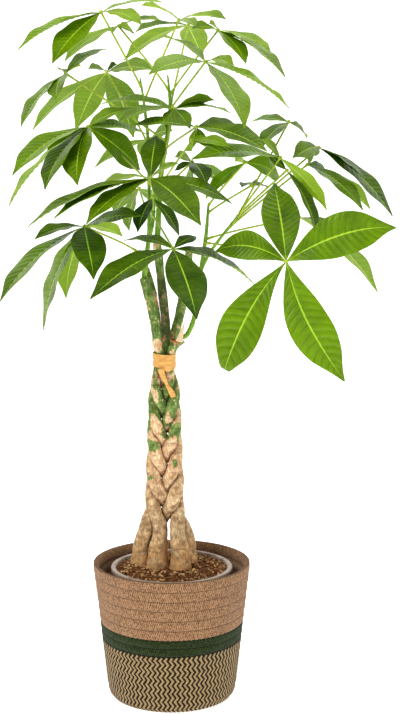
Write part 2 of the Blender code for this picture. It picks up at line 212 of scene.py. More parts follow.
def objectPlace(tree, stretch=(1, 1, 1)):
    where = tree.nodes.new("ShaderNodeTexCoord")
    mapping = tree.nodes.new("ShaderNodeMapping")
    mapping.inputs["Scale"].default_value = stretch
    tree.links.new(where.outputs["Object"], mapping.inputs["Vector"])
    return mapping.outputs["Vector"]


def noiseShare(tree, place, scale, detail=3.0, roughness=0.55):
    node = tree.nodes.new("ShaderNodeTexNoise")
    node.inputs["Scale"].default_value = scale
    node.inputs["Detail"].default_value = detail
    node.inputs["Roughness"].default_value = roughness
    tree.links.new(place, node.inputs["Vector"])
    return node.outputs["Fac"]


def cellDistance(tree, place, scale):
    node = tree.nodes.new("ShaderNodeTexVoronoi")
    node.inputs["Scale"].default_value = scale
    tree.links.new(place, node.inputs["Vector"])
    return node.outputs["Distance"]


def splitPlace(tree, place):
    node = tree.nodes.new("ShaderNodeSeparateXYZ")
    tree.links.new(place, node.inputs[0])
    return node.outputs


def addBump(tree, shader, height, strength, distance):
    node = tree.nodes.new("ShaderNodeBump")
    node.inputs["Strength"].default_value = strength
    node.inputs["Distance"].default_value = distance
    tree.links.new(height, node.inputs["Height"])
    tree.links.new(node.outputs["Normal"], shader.inputs["Normal"])


def readToneAndShade(tree):
    node = tree.nodes.new("ShaderNodeAttribute")
    node.attribute_name = "tone"
    return node.outputs["Fac"]


# camera, lights and backdrop

studio = {
    "cameraPlace": (0.034, -1.8, 0.69),
    "cameraPitch": 8.8,              # degrees below level
    "lens": 78.0,
    "worldStrength": 0.38,
    "lights": [                      # name, place, aim, size, watts
        ("keyLight", (-1.1, -1.5, 2.1), (0.0, 0.0, 0.55), 1.0, 24),
        ("topLight", (0.4, 0.5, 2.4), (0.0, 0.0, 0.6), 1.4, 13),
        ("fillLight", (1.6, -1.5, 0.9), (0.0, 0.0, 0.5), 1.5, 4)],
    "backdropDistance": 5.0,
    "backdropSize": 14.0,
    "backdropHeight": 5.0,
    "backdropBend": 1.5,
    "backdropGlow": 0.62,
}


def setCamera():
    data = bpy.data.cameras.new("camera")
    data.lens = studio["lens"]
    data.sensor_width = 36
    camera = bpy.data.objects.new("camera", data)
    camera.location = studio["cameraPlace"]
    camera.rotation_euler = (math.radians(90 - studio["cameraPitch"]), 0, 0)
    bpy.context.scene.collection.objects.link(camera)
    bpy.context.scene.camera = camera


def setLights():
    world = bpy.data.worlds.new("studioWorld")
    world.use_nodes = True
    background = world.node_tree.nodes["Background"]
    background.inputs["Color"].default_value = (1.0, 1.0, 1.0, 1.0)
    background.inputs["Strength"].default_value = studio["worldStrength"]
    bpy.context.scene.world = world
    for name, place, aim, size, watts in studio["lights"]:
        data = bpy.data.lights.new(name, "AREA")
        data.size = size
        data.energy = watts
        lamp = bpy.data.objects.new(name, data)
        lamp.location = place
        lamp.rotation_euler = (Vector(aim) - Vector(place)).to_track_quat("-Z", "Y").to_euler()
        bpy.context.scene.collection.objects.link(lamp)


def setBackdrop():
    size = studio["backdropSize"]
    far = studio["backdropDistance"]
    bpy.ops.object.select_all(action="DESELECT")
    bpy.ops.mesh.primitive_plane_add(size=size, location=(0, far - size / 2, 0))
    backdrop = bpy.context.object
    backdrop.name = "backdrop"
    bpy.ops.object.transform_apply(location=True, rotation=True, scale=True)
    bpy.ops.object.mode_set(mode="EDIT")
    bpy.ops.mesh.select_mode(type="EDGE")
    bpy.ops.mesh.select_all(action="DESELECT")
    bpy.ops.object.mode_set(mode="OBJECT")
    for edge in backdrop.data.edges:
        ends = [backdrop.data.vertices[i].co.y for i in edge.vertices]
        edge.select = min(ends) > far - 0.01
    bpy.ops.object.mode_set(mode="EDIT")
    bpy.ops.mesh.extrude_region_move(TRANSFORM_OT_translate={"value": (0, 0, studio["backdropHeight"])})
    bpy.ops.object.mode_set(mode="OBJECT")
    bend = backdrop.modifiers.new("bend", "BEVEL")
    bend.width = studio["backdropBend"]
    bend.segments = 16
    applyModifiers(backdrop)
    shadeRound(backdrop, 60)
    paper, _, shader = startMaterial("backdropPaper", 0.9, 0.1)
    shader.inputs["Base Color"].default_value = (0.93, 0.93, 0.93, 1.0)
    shader.inputs["Emission Color"].default_value = (1.0, 1.0, 1.0, 1.0)
    shader.inputs["Emission Strength"].default_value = studio["backdropGlow"]
    backdrop.data.materials.append(paper)


bpy.context.scene.view_settings.view_transform = "Standard"
bpy.context.scene.view_settings.gamma = 0.86
bpy.context.scene.view_settings.exposure = 0.22
setCamera()
setLights()
setBackdrop()
print("studio set")


# the sewn rope basket

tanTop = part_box("basket_tan_wall")[1][2]
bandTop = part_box("basket_green_band")[1][2]
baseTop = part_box("basket_zigzag_base")[1][2]
basket = {
    "rim": (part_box("basket_tan_wall")[1][0], tanTop),          # outer radius at a height
    "bandTop": (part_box("basket_green_band")[1][0], bandTop),
    "bandBottom": (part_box("basket_zigzag_base")[1][0], baseTop),
    "heel": (0.078, 0.014),
    "foot": 0.068,
    "wall": 0.0062,
    "around": 504,                # points round a ring
    "perRow": 7,                  # rings a row of rope
    "rows": (6, 2, 6),            # tan, green, zigzag
    "bulge": 0.9 * mm,
    "stitchDepth": 0.45 * mm,
    "stitches": 84,               # sewn stitches round the wall
    "zigzags": 88,                # upright zigzag lines round the base
    "zigzagHeight": 10.4 * mm,
}


def wallRadius(height):
    stations = [basket["heel"], basket["bandBottom"], basket["bandTop"], basket["rim"]]
    radii, heights = zip(*stations)
    return float(np.interp(height, heights, radii))


greenYarn = srgb(30, 46, 20)


def angleAndHeight(tree):
    x, y, z = splitPlace(tree, objectPlace(tree))
    return calc(tree, "ARCTAN2", y, x), z


def addTeeth(tree, colour, angle, height, edge, depth, yarn):
    # the next colour's stitches reach into this one in small points
    turns = calc(tree, "MULTIPLY", angle, basket["zigzags"] / math.tau)
    point = calc(tree, "MULTIPLY", calc(tree, "PINGPONG", turns, 0.5), 2 * depth)
    away = calc(tree, "ABSOLUTE", calc(tree, "SUBTRACT", height, edge))
    inside = calc(tree, "LESS_THAN", away, point)
    return mixColours(tree, inside, colour, yarn)


def ropeMaterial(name, light, dark, rowHeight, startHeight, nextYarn=None):
    # braided yarn in rows: a fine V-shaped twist, fibres and a dark sewn line between rows
    made, tree, shader = startMaterial(name, 0.92, 0.15)
    angle, height = angleAndHeight(tree)
    row = calc(tree, "DIVIDE", calc(tree, "SUBTRACT", height, startHeight), rowHeight)
    acrossRow = calc(tree, "PINGPONG", row, 0.5)          # 0 at the edge of a row, 0.5 in the middle
    turns = calc(tree, "MULTIPLY", angle, basket["stitches"] / math.tau)
    twist = calc(tree, "PINGPONG", calc(tree, "ADD", calc(tree, "MULTIPLY", turns, 2.6),
                                        calc(tree, "MULTIPLY", acrossRow, 2.0)), 0.5)
    place = objectPlace(tree)
    fibre = noiseShare(tree, objectPlace(tree, (1, 1, 1.6)), 900, 4)
    patch = noiseShare(tree, place, 55, 3)
    yarn = softStep(tree, twist, 0.02, 0.34)
    seam = softStep(tree, acrossRow, 0.0, 0.10)
    speck = softStep(tree, noiseShare(tree, place, 430, 2), 0.38, 0.60)
    share = calc(tree, "ADD", calc(tree, "MULTIPLY", yarn, 0.48), calc(tree, "MULTIPLY", speck, 0.50))
    share = calc(tree, "ADD", share, calc(tree, "MULTIPLY", calc(tree, "SUBTRACT", patch, 0.5), 0.3))
    share = calc(tree, "MULTIPLY", share, calc(tree, "MULTIPLY_ADD", seam, 0.65, 0.35))
    colour = mixColours(tree, share, dark, light)
    if nextYarn:
        colour = addTeeth(tree, colour, angle, height, startHeight, 1.3 * mm, nextYarn)
    tree.links.new(colour, shader.inputs["Base Color"])
    relief = calc(tree, "ADD", yarn, calc(tree, "MULTIPLY", fibre, 0.8))
    relief = calc(tree, "ADD", relief, seam)
    addBump(tree, shader, relief, 0.7, 0.0009)
    shader.inputs["Sheen Weight"].default_value = 0.15
    return made


def zigzagMaterial(name, beige, brown):
    # two yarns side by side, whose upright stripes lean left and right row by row
    made, tree, shader = startMaterial(name, 0.92, 0.15)
    angle, height = angleAndHeight(tree)
    turns = calc(tree, "MULTIPLY", angle, basket["zigzags"] / math.tau)
    climb = calc(tree, "DIVIDE", height, basket["zigzagHeight"])
    sway = calc(tree, "MULTIPLY", calc(tree, "PINGPONG", climb, 0.5), 1.35)
    stripe = calc(tree, "PINGPONG", calc(tree, "ADD", turns, sway), 0.5)
    place = objectPlace(tree)
    wobble = calc(tree, "MULTIPLY", calc(tree, "SUBTRACT", noiseShare(tree, place, 300, 2), 0.5), 0.38)
    stripe = calc(tree, "ADD", stripe, wobble)
    which = softStep(tree, stripe, 0.20, 0.30)
    edge = calc(tree, "ABSOLUTE", calc(tree, "SUBTRACT", stripe, 0.25))
    yarn = softStep(tree, edge, 0.0, 0.16)
    fibre = noiseShare(tree, place, 800, 4)
    colour = mixColours(tree, which, brown, beige)
    shade = calc(tree, "MULTIPLY_ADD", fibre, 0.9, 0.45)
    colour = mixColours(tree, 0.8, colour, shade, "MULTIPLY")
    colour = addTeeth(tree, colour, angle, height, baseTop, 2.6 * mm, greenYarn)
    tree.links.new(colour, shader.inputs["Base Color"])
    addBump(tree, shader, calc(tree, "ADD", yarn, calc(tree, "MULTIPLY", fibre, 0.6)), 0.8, 0.0011)
    shader.inputs["Sheen Weight"].default_value = 0.15
    return made


def ropeWall(profile, material):
    # a ring of points, extruded from one profile point to the next
    bpy.ops.object.select_all(action="DESELECT")
    radius, height = profile[0]
    bpy.ops.mesh.primitive_circle_add(vertices=basket["around"], radius=radius, location=(0, 0, height))
    wall = bpy.context.object
    settle(wall)
    bpy.ops.object.mode_set(mode="EDIT")
    bpy.ops.mesh.select_all(action="SELECT")
    for (oldRadius, oldHeight), (newRadius, newHeight) in zip(profile, profile[1:]):
        bpy.ops.mesh.extrude_region_move(TRANSFORM_OT_translate={"value": (0, 0, newHeight - oldHeight)})
        bpy.ops.transform.resize(value=(newRadius / oldRadius, newRadius / oldRadius, 1),
                                 center_override=(0, 0, newHeight))
    bpy.ops.object.mode_set(mode="OBJECT")
    wall.data.materials.append(material)
    return wall


def closeWall(wall):
    selectOnly(wall)
    bpy.ops.object.mode_set(mode="EDIT")
    bpy.ops.mesh.select_all(action="SELECT")
    bpy.ops.mesh.remove_doubles(threshold=0.00002)
    bpy.ops.mesh.normals_make_consistent(inside=False)
    bpy.ops.object.mode_set(mode="OBJECT")
    shadeRound(wall, 60)


def rowProfile(bottom, top, rows, inward, flip):
    # the bulges of the rope rows on one side of the wall, from the bottom up
    steps = rows * basket["perRow"]
    profile = []
    for i in range(steps + 1):
        height = bottom + (top - bottom) * i / steps
        bulge = abs(math.sin(math.pi * i / basket["perRow"])) ** 0.6 * basket["bulge"]
        profile.append((wallRadius(height) - inward + flip * (bulge - basket["bulge"]), height))
    return profile


def stitchWall(wall, bottom, top, rows, strength):
    # presses the sewing thread's stitches into the rope, half a step further on in each row
    points = readPoints(wall.data)
    radius = np.hypot(points[:, 0], points[:, 1])
    angle = np.arctan2(points[:, 1], points[:, 0])
    row = (points[:, 2] - bottom) / ((top - bottom) / rows)
    shift = np.floor(row) * 0.5
    lean = (row - np.floor(row)) * 0.9
    wave = np.abs(np.sin(np.pi * (angle * basket["stitches"] / math.tau + shift + lean)))
    drift = np.sin(angle * 3 + points[:, 2] * 40)
    radius -= strength * (1 - wave ** 0.7) * np.clip(np.sin(np.pi * (row - np.floor(row))), 0, 1)
    radius -= 0.15 * mm * (1 + drift)
    points[:, 0] = radius * np.cos(angle)
    points[:, 1] = radius * np.sin(angle)
    writePoints(wall.data, points)


def makeBasket():
    tanRows, greenRows, zigzagRows = basket["rows"]
    wallWidth = basket["wall"]
    tanRope = ropeMaterial("tanRope", srgb(198, 158, 121), srgb(104, 71, 46),
                           (tanTop - bandTop) / tanRows, bandTop, greenYarn)
    greenRope = ropeMaterial("greenRope", srgb(66, 82, 40), srgb(14, 22, 8),
                             (bandTop - baseTop) / greenRows, baseTop)
    zigzagRope = zigzagMaterial("zigzagRope", srgb(196, 168, 124), srgb(54, 44, 24))
    outer = rowProfile(bandTop, tanTop - 2 * mm, tanRows, 0.0, 1)
    inner = rowProfile(bandTop, tanTop - 2 * mm, tanRows, wallWidth, -1)[::-1]
    middle = wallRadius(tanTop) - wallWidth / 2
    rim = [(middle + 2.1 * mm, tanTop - 0.6 * mm), (middle + 0.8 * mm, tanTop - 0.05 * mm),
           (middle - 0.8 * mm, tanTop - 0.05 * mm), (middle - 2.1 * mm, tanTop - 0.6 * mm)]
    wall = ropeWall(outer + rim + inner + outer[:1], tanRope)
    stitchWall(wall, bandTop, tanTop, tanRows, basket["stitchDepth"])
    closeWall(wall)
    finishPiece(wall, "tanRopeWall", "tan_rope", "basket_tan_wall")

    outer = rowProfile(baseTop, bandTop, greenRows, 0.0, 1)
    inner = rowProfile(baseTop, bandTop, greenRows, wallWidth, -1)[::-1]
    band = ropeWall(outer + inner + outer[:1], greenRope)
    stitchWall(band, baseTop, bandTop, greenRows, basket["stitchDepth"])
    closeWall(band)
    finishPiece(band, "greenRopeBand", "green_rope", "basket_green_band")

    heelRadius, heelHeight = basket["heel"]
    outer = rowProfile(heelHeight, baseTop, zigzagRows, 0.0, 1)
    heel = [(basket["foot"], 0.0), (basket["foot"] + 4.5 * mm, 1.2 * mm), (heelRadius - 2.4 * mm, 5 * mm),
            (heelRadius - 0.9 * mm, 9.5 * mm)]
    inner = [(wallRadius(baseTop) - wallWidth, baseTop), (heelRadius - wallWidth, heelHeight + 4 * mm),
             (heelRadius - 2 * wallWidth, wallWidth), (2 * mm, wallWidth)]
    base = ropeWall([(2 * mm, 0.0)] + heel + outer + inner, zigzagRope)
    selectOnly(base)
    bpy.ops.object.mode_set(mode="EDIT")
    bpy.ops.mesh.select_mode(type="VERT")
    bpy.ops.mesh.select_all(action="SELECT")
    bpy.ops.mesh.fill_holes(sides=0)
    bpy.ops.object.mode_set(mode="OBJECT")
    closeWall(base)
    finishPiece(base, "zigzagRopeBase", "zigzag_rope", "basket_zigzag_base")
    print("basket made")


makeBasket()


# nursery pot and soil

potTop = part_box("nursery_pot")[1][2]
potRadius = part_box("nursery_pot")[1][0]
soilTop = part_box("potting_soil")[1][2]
soilEdge = potTop - 2.5 * mm
pot = {
    "lipWidth": 6 * mm,
    "lipDepth": 5 * mm,
    "baseRadius": 0.052,
    "wall": 1.6 * mm,
    "floor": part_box("nursery_pot")[0][2],
    "around": 96,
}
ground = {
    "cells": 120,
    "lumps": 3.4 * mm,
    "grains": 1.6 * mm,
    "chips": 760,
    "fibres": 120,
}


def makePot():
    lipInside = potRadius - pot["lipWidth"]
    low = pot["floor"]
    lipUnder = potTop - pot["lipDepth"]
    profile = [(pot["baseRadius"] - 3 * mm, low), (pot["baseRadius"], low + 1.5 * mm),
               (lipInside + pot["wall"] - 0.2 * mm, lipUnder),
               (potRadius - 0.3 * mm, lipUnder), (potRadius, lipUnder + 0.5 * mm),
               (potRadius, potTop - 1.2 * mm), (potRadius - 0.5 * mm, potTop - 0.3 * mm),
               (potRadius - 1.4 * mm, potTop), (lipInside + 1.4 * mm, potTop),
               (lipInside + 0.4 * mm, potTop - 0.4 * mm), (lipInside, potTop - 1.4 * mm),
               (pot["baseRadius"] - pot["wall"], low + 3 * mm), (2 * mm, low + 2.6 * mm), (2 * mm, low)]
    bpy.ops.object.select_all(action="DESELECT")
    bpy.ops.mesh.primitive_circle_add(
        vertices=pot["around"], radius=profile[0][0], location=(0, 0, profile[0][1]))
    piece = bpy.context.object
    settle(piece)
    bpy.ops.object.mode_set(mode="EDIT")
    bpy.ops.mesh.select_all(action="SELECT")
    for (oldRadius, oldHeight), (newRadius, newHeight) in zip(profile, profile[1:] + profile[:1]):
        bpy.ops.mesh.extrude_region_move(TRANSFORM_OT_translate={"value": (0, 0, newHeight - oldHeight)})
        bpy.ops.transform.resize(value=(newRadius / oldRadius, newRadius / oldRadius, 1),
                                 center_override=(0, 0, newHeight))
    bpy.ops.object.mode_set(mode="OBJECT")
    plastic, tree, shader = startMaterial("potPlastic", 0.42, 0.5)
    place = objectPlace(tree)
    dust = softStep(tree, noiseShare(tree, place, 70, 4), 0.45, 0.75)
    colour = mixColours(tree, dust, srgb(178, 160, 148), srgb(132, 106, 86))
    tree.links.new(colour, shader.inputs["Base Color"])
    addBump(tree, shader, noiseShare(tree, place, 300, 3), 0.15, 0.0006)
    piece.data.materials.append(plastic)
    closeWall(piece)
    finishPiece(piece, "greyPot", "pot_plastic", "nursery_pot")


def soilMaterial():
    made, tree, shader = startMaterial("pottingSoil", 0.95, 0.15)
    place = objectPlace(tree)
    tone = readToneAndShade(tree)
    grain = noiseShare(tree, place, 380, 5, 0.65)
    clump = noiseShare(tree, place, 90, 3)
    share = calc(tree, "ADD", calc(tree, "MULTIPLY", tone, 1.0), calc(tree, "SUBTRACT", clump, 0.55))
    dark = mixColours(tree, softStep(tree, grain, 0.35, 0.65), srgb(58, 37, 22), srgb(150, 101, 62))
    tree.links.new(mixColours(tree, softStep(tree, share, 0.1, 1.0), dark, srgb(228, 188, 138)),
                   shader.inputs["Base Color"])
    addBump(tree, shader, grain, 0.9, 0.0016)
    return made


def makeSoil():
    rng = random.Random(11)
    material = soilMaterial()
    insideRadii = [pot["baseRadius"], potRadius - pot["lipWidth"]]
    radius = float(np.interp(soilEdge, [pot["floor"], potTop], insideRadii)) - 0.8 * mm
    bpy.ops.object.select_all(action="DESELECT")
    bpy.ops.mesh.primitive_grid_add(x_subdivisions=ground["cells"], y_subdivisions=ground["cells"], size=2)
    soil = bpy.context.object
    points = readPoints(soil.data)
    x, y = points[:, 0].copy(), points[:, 1].copy()
    points[:, 0] = radius * x * np.sqrt(1 - y * y / 2)          # the square grid drawn out to a disc
    points[:, 1] = radius * y * np.sqrt(1 - x * x / 2)
    reach = np.hypot(points[:, 0], points[:, 1]) / radius
    mound = smoothStep(reach, 1.0, 0.62)
    points[:, 2] = soilEdge - 0.8 * mm + (soilTop - soilEdge - 1.0 * mm) * mound
    writePoints(soil.data, points)
    swells = (("soilLumps", 0.011, ground["lumps"]), ("soilGrains", 0.0032, ground["grains"]))
    for name, size, strength in swells:
        clouds = bpy.data.textures.new(name, "CLOUDS")
        clouds.noise_scale = size
        clouds.noise_depth = 3
        lift = soil.modifiers.new(name, "DISPLACE")
        lift.texture = clouds
        lift.texture_coords = "GLOBAL"
        lift.direction = "Z"
        lift.strength = strength
        lift.mid_level = 0.5
    applyModifiers(soil)
    bpy.ops.object.mode_set(mode="EDIT")
    bpy.ops.mesh.select_all(action="SELECT")
    bpy.ops.mesh.extrude_region_move(TRANSFORM_OT_translate={"value": (0, 0, -12 * mm)})
    bpy.ops.transform.resize(value=(0.98, 0.98, 0.0), center_override=(0, 0, soilTop - 16 * mm))
    bpy.ops.mesh.select_all(action="SELECT")
    bpy.ops.mesh.normals_make_consistent(inside=False)
    bpy.ops.object.mode_set(mode="OBJECT")
    soil.data.materials.append(material)
    setToneAndShade(soil.data, 0.0)
    shadeRound(soil, 60)

    bpy.ops.object.select_all(action="DESELECT")
    bpy.ops.mesh.primitive_ico_sphere_add(subdivisions=1, radius=1)
    chip = bpy.context.object
    bpy.ops.object.select_all(action="DESELECT")
    bpy.ops.mesh.primitive_cylinder_add(vertices=5, radius=1, depth=2)
    fibre = bpy.context.object
    bits = []
    for i in range(ground["chips"] + ground["fibres"]):
        isFibre = i >= ground["chips"]
        bit = (fibre if isFibre else chip).copy()
        bit.data = bit.data.copy()
        bpy.context.collection.objects.link(bit)
        reach = radius * 0.96 * math.sqrt(rng.random())
        turn = rng.uniform(0, math.tau)
        size = rng.uniform(1.1, 3.4) * mm
        mound = float(smoothStep(reach / radius, 1.0, 0.62))
        height = soilEdge + (soilTop - soilEdge - 1.0 * mm) * mound
        bit.location = (reach * math.cos(turn), reach * math.sin(turn), height + rng.uniform(-1.2, 0.4) * mm)
        if isFibre:
            bit.scale = (0.22 * mm, 0.16 * mm, rng.uniform(3, 8) * mm)
            bit.rotation_euler = (math.pi / 2 + rng.uniform(-0.3, 0.3), rng.uniform(0, 6), rng.uniform(0, 6))
        else:
            bit.scale = (size, size * rng.uniform(0.35, 0.8), size * rng.uniform(0.2, 0.5))
            bit.rotation_euler = (rng.uniform(-0.6, 0.6), rng.uniform(-0.6, 0.6), rng.uniform(0, 6))
        bit.data.materials.append(material)
        setToneAndShade(bit.data, rng.uniform(0.7, 1.0) if isFibre else rng.choice((0.0, 0.2, 0.4, 0.6, 0.8, 1.0)))
        bits.append(bit)
    for template in (chip, fibre):
        bpy.data.objects.remove(template, do_unlink=True)
    joinPieces(soil, *bits)
    settle(soil)
    finishPiece(soil, "loosePottingSoil", "soil", "potting_soil")
    print("pot and soil made")


makePot()
makeSoil()


# the plaited trunk

trunk = {
    "halfWidth": (12.6 * mm, 15.6 * mm),   # swing of a stem's axis at the top and the bottom of the plait
    "halfDepth": (7.8 * mm, 9.2 * mm),
    "period": 0.181,
    "centre": -0.008,
    "phaseHeight": 0.365,
    "top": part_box("raffia_tie")[0][2] + 1 * mm,
    "tieTop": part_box("raffia_tie")[1][2],
    "tiedSwing": 0.62,
    "tieReach": 0.035,
    "feet": (0.176, 0.235),                # each stem has its own foot below the first height
    "radius": (6.5 * mm, 8.1 * mm),        # at the top and at the bottom of the plait
    "tiedRadius": 4.8 * mm,
    "footScale": 1.18,
    "soilDepth": 4 * mm,
    "step": 2.4 * mm,
    "knobs": 2.2 * mm,
    "rootKnobs": [                # place and radius
        (0.0175, -0.013, 0.174, 0.0075), (0.0215, -0.009, 0.168, 0.0070),
        (0.0255, -0.006, 0.165, 0.0050), (0.012, -0.019, 0.165, 0.0060)],
    "ridges": 0.7 * mm,
}
# each stem: foot (x, y, radius), then its bare top above the tie as (x, y, z, radius)
stems = {
    "stem_front_right": ((0.011, -0.015, 0.0096), [
        (0.003, -0.010, 0.425, 0.0052), (0.0125, -0.010, 0.4345, 0.0056)]),
    "stem_middle": ((-0.013, 0.017, 0.0070), [
        (-0.005, 0.000, 0.435, 0.0052), (-0.016, 0.002, 0.545, 0.0049)]),
    "stem_back_left": ((-0.036, 0.004, 0.0100), [
        (-0.014, 0.012, 0.430, 0.0050), (-0.021, 0.015, 0.480, 0.0048),
        (-0.029, 0.015, 0.510, 0.0047), (-0.040, 0.014, 0.535, 0.0044)]),
    "stem_front_left": ((-0.0175, -0.008, 0.0094), [
        (-0.016, -0.012, 0.430, 0.0053), (-0.019, -0.014, 0.458, 0.0055),
        (-0.031, -0.015, 0.506, 0.0050)]),
    "stem_back_right": ((0.0195, 0.0065, 0.0090), [
        (0.002, 0.008, 0.430, 0.0052), (0.013, 0.010, 0.475, 0.0054),
        (0.021, 0.012, 0.535, 0.0046)]),
}


def between(pair, share):
    return pair[0] + (pair[1] - pair[0]) * share


def stemRoute(index, foot, top):
    start = soilTop - trunk["soilDepth"]
    end = trunk["tieTop"]
    count = int((end - start) / trunk["step"])
    route = []
    for i in range(count + 1):
        height = start + (end - start) * i / count
        turn = math.tau * (trunk["phaseHeight"] - min(height, trunk["top"])) / trunk["period"]
        angle = turn + math.pi / 2 + index * math.tau / 5
        pulled = float(smoothStep(height, trunk["top"] - trunk["tieReach"], trunk["top"]))
        lower = float(smoothStep(height, 0.39, 0.23))
        tied = 1 - (1 - trunk["tiedSwing"]) * pulled
        across = trunk["centre"] + between(trunk["halfWidth"], lower) * tied * math.cos(angle)
        away = -between(trunk["halfDepth"], lower) * tied * math.sin(2 * angle)
        radius = between(trunk["radius"], lower)
        radius += (trunk["tiedRadius"] - radius) * pulled
        free = float(smoothStep(height, *trunk["feet"]))
        swell = 1 - float(smoothStep(height, start, trunk["feet"][1]))
        flare = 1 + 0.16 * float(smoothStep(height, soilTop + 14 * mm, soilTop))
        route.append((foot[0] + (across - foot[0]) * free, foot[1] + (away - foot[1]) * free, height,
                      (radius + (foot[2] * trunk["footScale"] - radius) * swell) * flare))
    return route + smoothRoute([route[-1], *top], 14 * len(top) + 1)[1:]


def barkMaterial():
    made, tree, shader = startMaterial("plaitedBark", 0.72, 0.35)
    place = objectPlace(tree)
    height = splitPlace(tree, place)[2]
    grain = noiseShare(tree, objectPlace(tree, (1, 1, 0.35)), 320, 5, 0.6)
    patch = noiseShare(tree, objectPlace(tree, (1, 1, 0.7)), 62, 3, 0.5)
    fine = noiseShare(tree, place, 150, 4)
    # tan and grey brown, warmer and paler higher up
    high = softStep(tree, height, 0.20, 0.33)
    lowBark = mixColours(tree, softStep(tree, fine, 0.3, 0.7), srgb(166, 130, 94), srgb(238, 210, 166))
    highBark = mixColours(tree, softStep(tree, fine, 0.3, 0.7), srgb(216, 166, 122), srgb(255, 224, 186))
    colour = mixColours(tree, high, lowBark, highBark)
    # green skin in patches on the upper half
    greenHeight = softStep(tree, height, 0.25, 0.32)
    lean = calc(tree, "MULTIPLY", calc(tree, "SUBTRACT", 1.0, greenHeight), 0.25)
    lean = calc(tree, "SUBTRACT", lean, calc(tree, "MULTIPLY", softStep(tree, height, 0.41, 0.45), 0.05))
    greenShare = softStep(tree, calc(tree, "SUBTRACT", patch, lean), 0.475, 0.505)
    greenSkin = mixColours(tree, softStep(tree, fine, 0.35, 0.7), srgb(102, 130, 62), srgb(160, 180, 106))
    colour = mixColours(tree, greenShare, colour, greenSkin)
    # pale corky dots
    dots = cellDistance(tree, objectPlace(tree, (1, 1, 0.7)), 240)
    dotShare = calc(tree, "MULTIPLY", calc(tree, "SUBTRACT", 1.0, softStep(tree, dots, 0.16, 0.30)),
                    softStep(tree, noiseShare(tree, place, 75, 2), 0.40, 0.52))
    dotShare = calc(tree, "MULTIPLY", dotShare, greenHeight)
    colour = mixColours(tree, calc(tree, "MULTIPLY", dotShare, 0.85), colour, srgb(238, 226, 176))
    # golden feet
    low = calc(tree, "SUBTRACT", 1.0, softStep(tree, height, 0.170, 0.210))
    gold = calc(tree, "MULTIPLY", low, softStep(tree, noiseShare(tree, place, 90, 3), 0.34, 0.56))
    colour = mixColours(tree, calc(tree, "MULTIPLY", gold, 0.75), colour, srgb(232, 182, 124))
    # painted shade: darker brown where two stems press together, and on the middle stem above the tie
    paintedShadeMask = readToneAndShade(tree)
    # brown cross marks where the bark has stretched
    rings = noiseShare(tree, objectPlace(tree, (0.5, 0.5, 3.2)), 90, 3)
    mark = calc(tree, "SUBTRACT", 1.0, softStep(tree, rings, 0.30, 0.42))
    colour = mixColours(tree, calc(tree, "MULTIPLY", mark, 0.45), colour, srgb(128, 86, 56))
    cracks = noiseShare(tree, objectPlace(tree, (1, 1, 0.4)), 560, 4, 0.7)
    crackShade = calc(tree, "MULTIPLY_ADD", softStep(tree, cracks, 0.36, 0.62), 0.50, 0.68)
    colour = mixColours(tree, 0.9, colour, crackShade, "MULTIPLY")
    # painted shade: a dark brown mixed in by the painted shade share
    colour = mixColours(tree, paintedShadeMask, srgb(52, 32, 20), colour)
    tree.links.new(colour, shader.inputs["Base Color"])
    relief = calc(tree, "ADD", calc(tree, "MULTIPLY", grain, 0.6), calc(tree, "MULTIPLY", rings, 0.8))
    relief = calc(tree, "ADD", relief, calc(tree, "MULTIPLY", cracks, 0.6))
    relief = calc(tree, "ADD", relief, calc(tree, "MULTIPLY", dotShare, 0.4))
    addBump(tree, shader, relief, 0.8, 0.0014)
    return made


def makeTrunk():
    bark = barkMaterial()
    routes = [stemRoute(index, foot, top) for index, (foot, top) in enumerate(stems.values())]
    for name, route in zip(stems, routes):
        stem = drawTube(route, 6, bark)
        points = readPoints(stem.data)
        others = np.array([spot for other in routes if other is not route for spot in other])
        gaps = np.linalg.norm(points[:, None, :] - others[None, :, :3], axis=2) - others[None, :, 3]
        # painted shade: a stem's share of light falls where it comes near another stem, so the creases of
        # the plait are painted darker
        light = 0.25 + 0.75 * smoothStep(gaps.min(axis=1), -0.5 * mm, 2.2 * mm)
        # painted shade: the middle stem is painted darker above the tie, where it stands behind the others
        # in shade
        if name == "stem_middle":
            height = points[:, 2]
            light *= 1 - 0.6 * smoothStep(height, 0.425, 0.44) * (1 - smoothStep(height, 0.50, 0.52))
        setToneAndShade(stem.data, light)
        for label, size, strength in (("knobs", 0.016, trunk["knobs"]), ("ridges", 0.004, trunk["ridges"])):
            clouds = bpy.data.textures.new(label, "CLOUDS")
            clouds.noise_scale = size
            clouds.noise_depth = 2
            lift = stem.modifiers.new(label, "DISPLACE")
            lift.texture = clouds
            lift.texture_coords = "GLOBAL"
            lift.strength = strength
            lift.mid_level = 0.5
        applyModifiers(stem)
        if name == "stem_front_right":
            joinPieces(stem, *cutStub())
        if name == "stem_back_right":
            joinPieces(stem, *rootKnobs(bark))
        shadeRound(stem, 60)
        pieceName = "bark" + "".join(word.capitalize() for word in name.split("_"))
        finishPiece(stem, pieceName, "bark", name)
    print("trunk made")


def rootKnobs(bark):
    # knobbly roots that swell out over the soil beside the right-hand foot
    knobs = []
    for x, y, z, radius in trunk["rootKnobs"]:
        bpy.ops.object.select_all(action="DESELECT")
        bpy.ops.mesh.primitive_ico_sphere_add(subdivisions=4, radius=radius, location=(x, y, z))
        knob = bpy.context.object
        settle(knob)
        clouds = bpy.data.textures.new("knobLumps", "CLOUDS")
        clouds.noise_scale = 0.005
        lump = knob.modifiers.new("lumps", "DISPLACE")
        lump.texture = clouds
        lump.texture_coords = "GLOBAL"
        lump.strength = 3.5 * mm
        applyModifiers(knob)
        knob.data.materials.append(bark)
        setToneAndShade(knob.data, 1.0)
        knobs.append(knob)
    return knobs


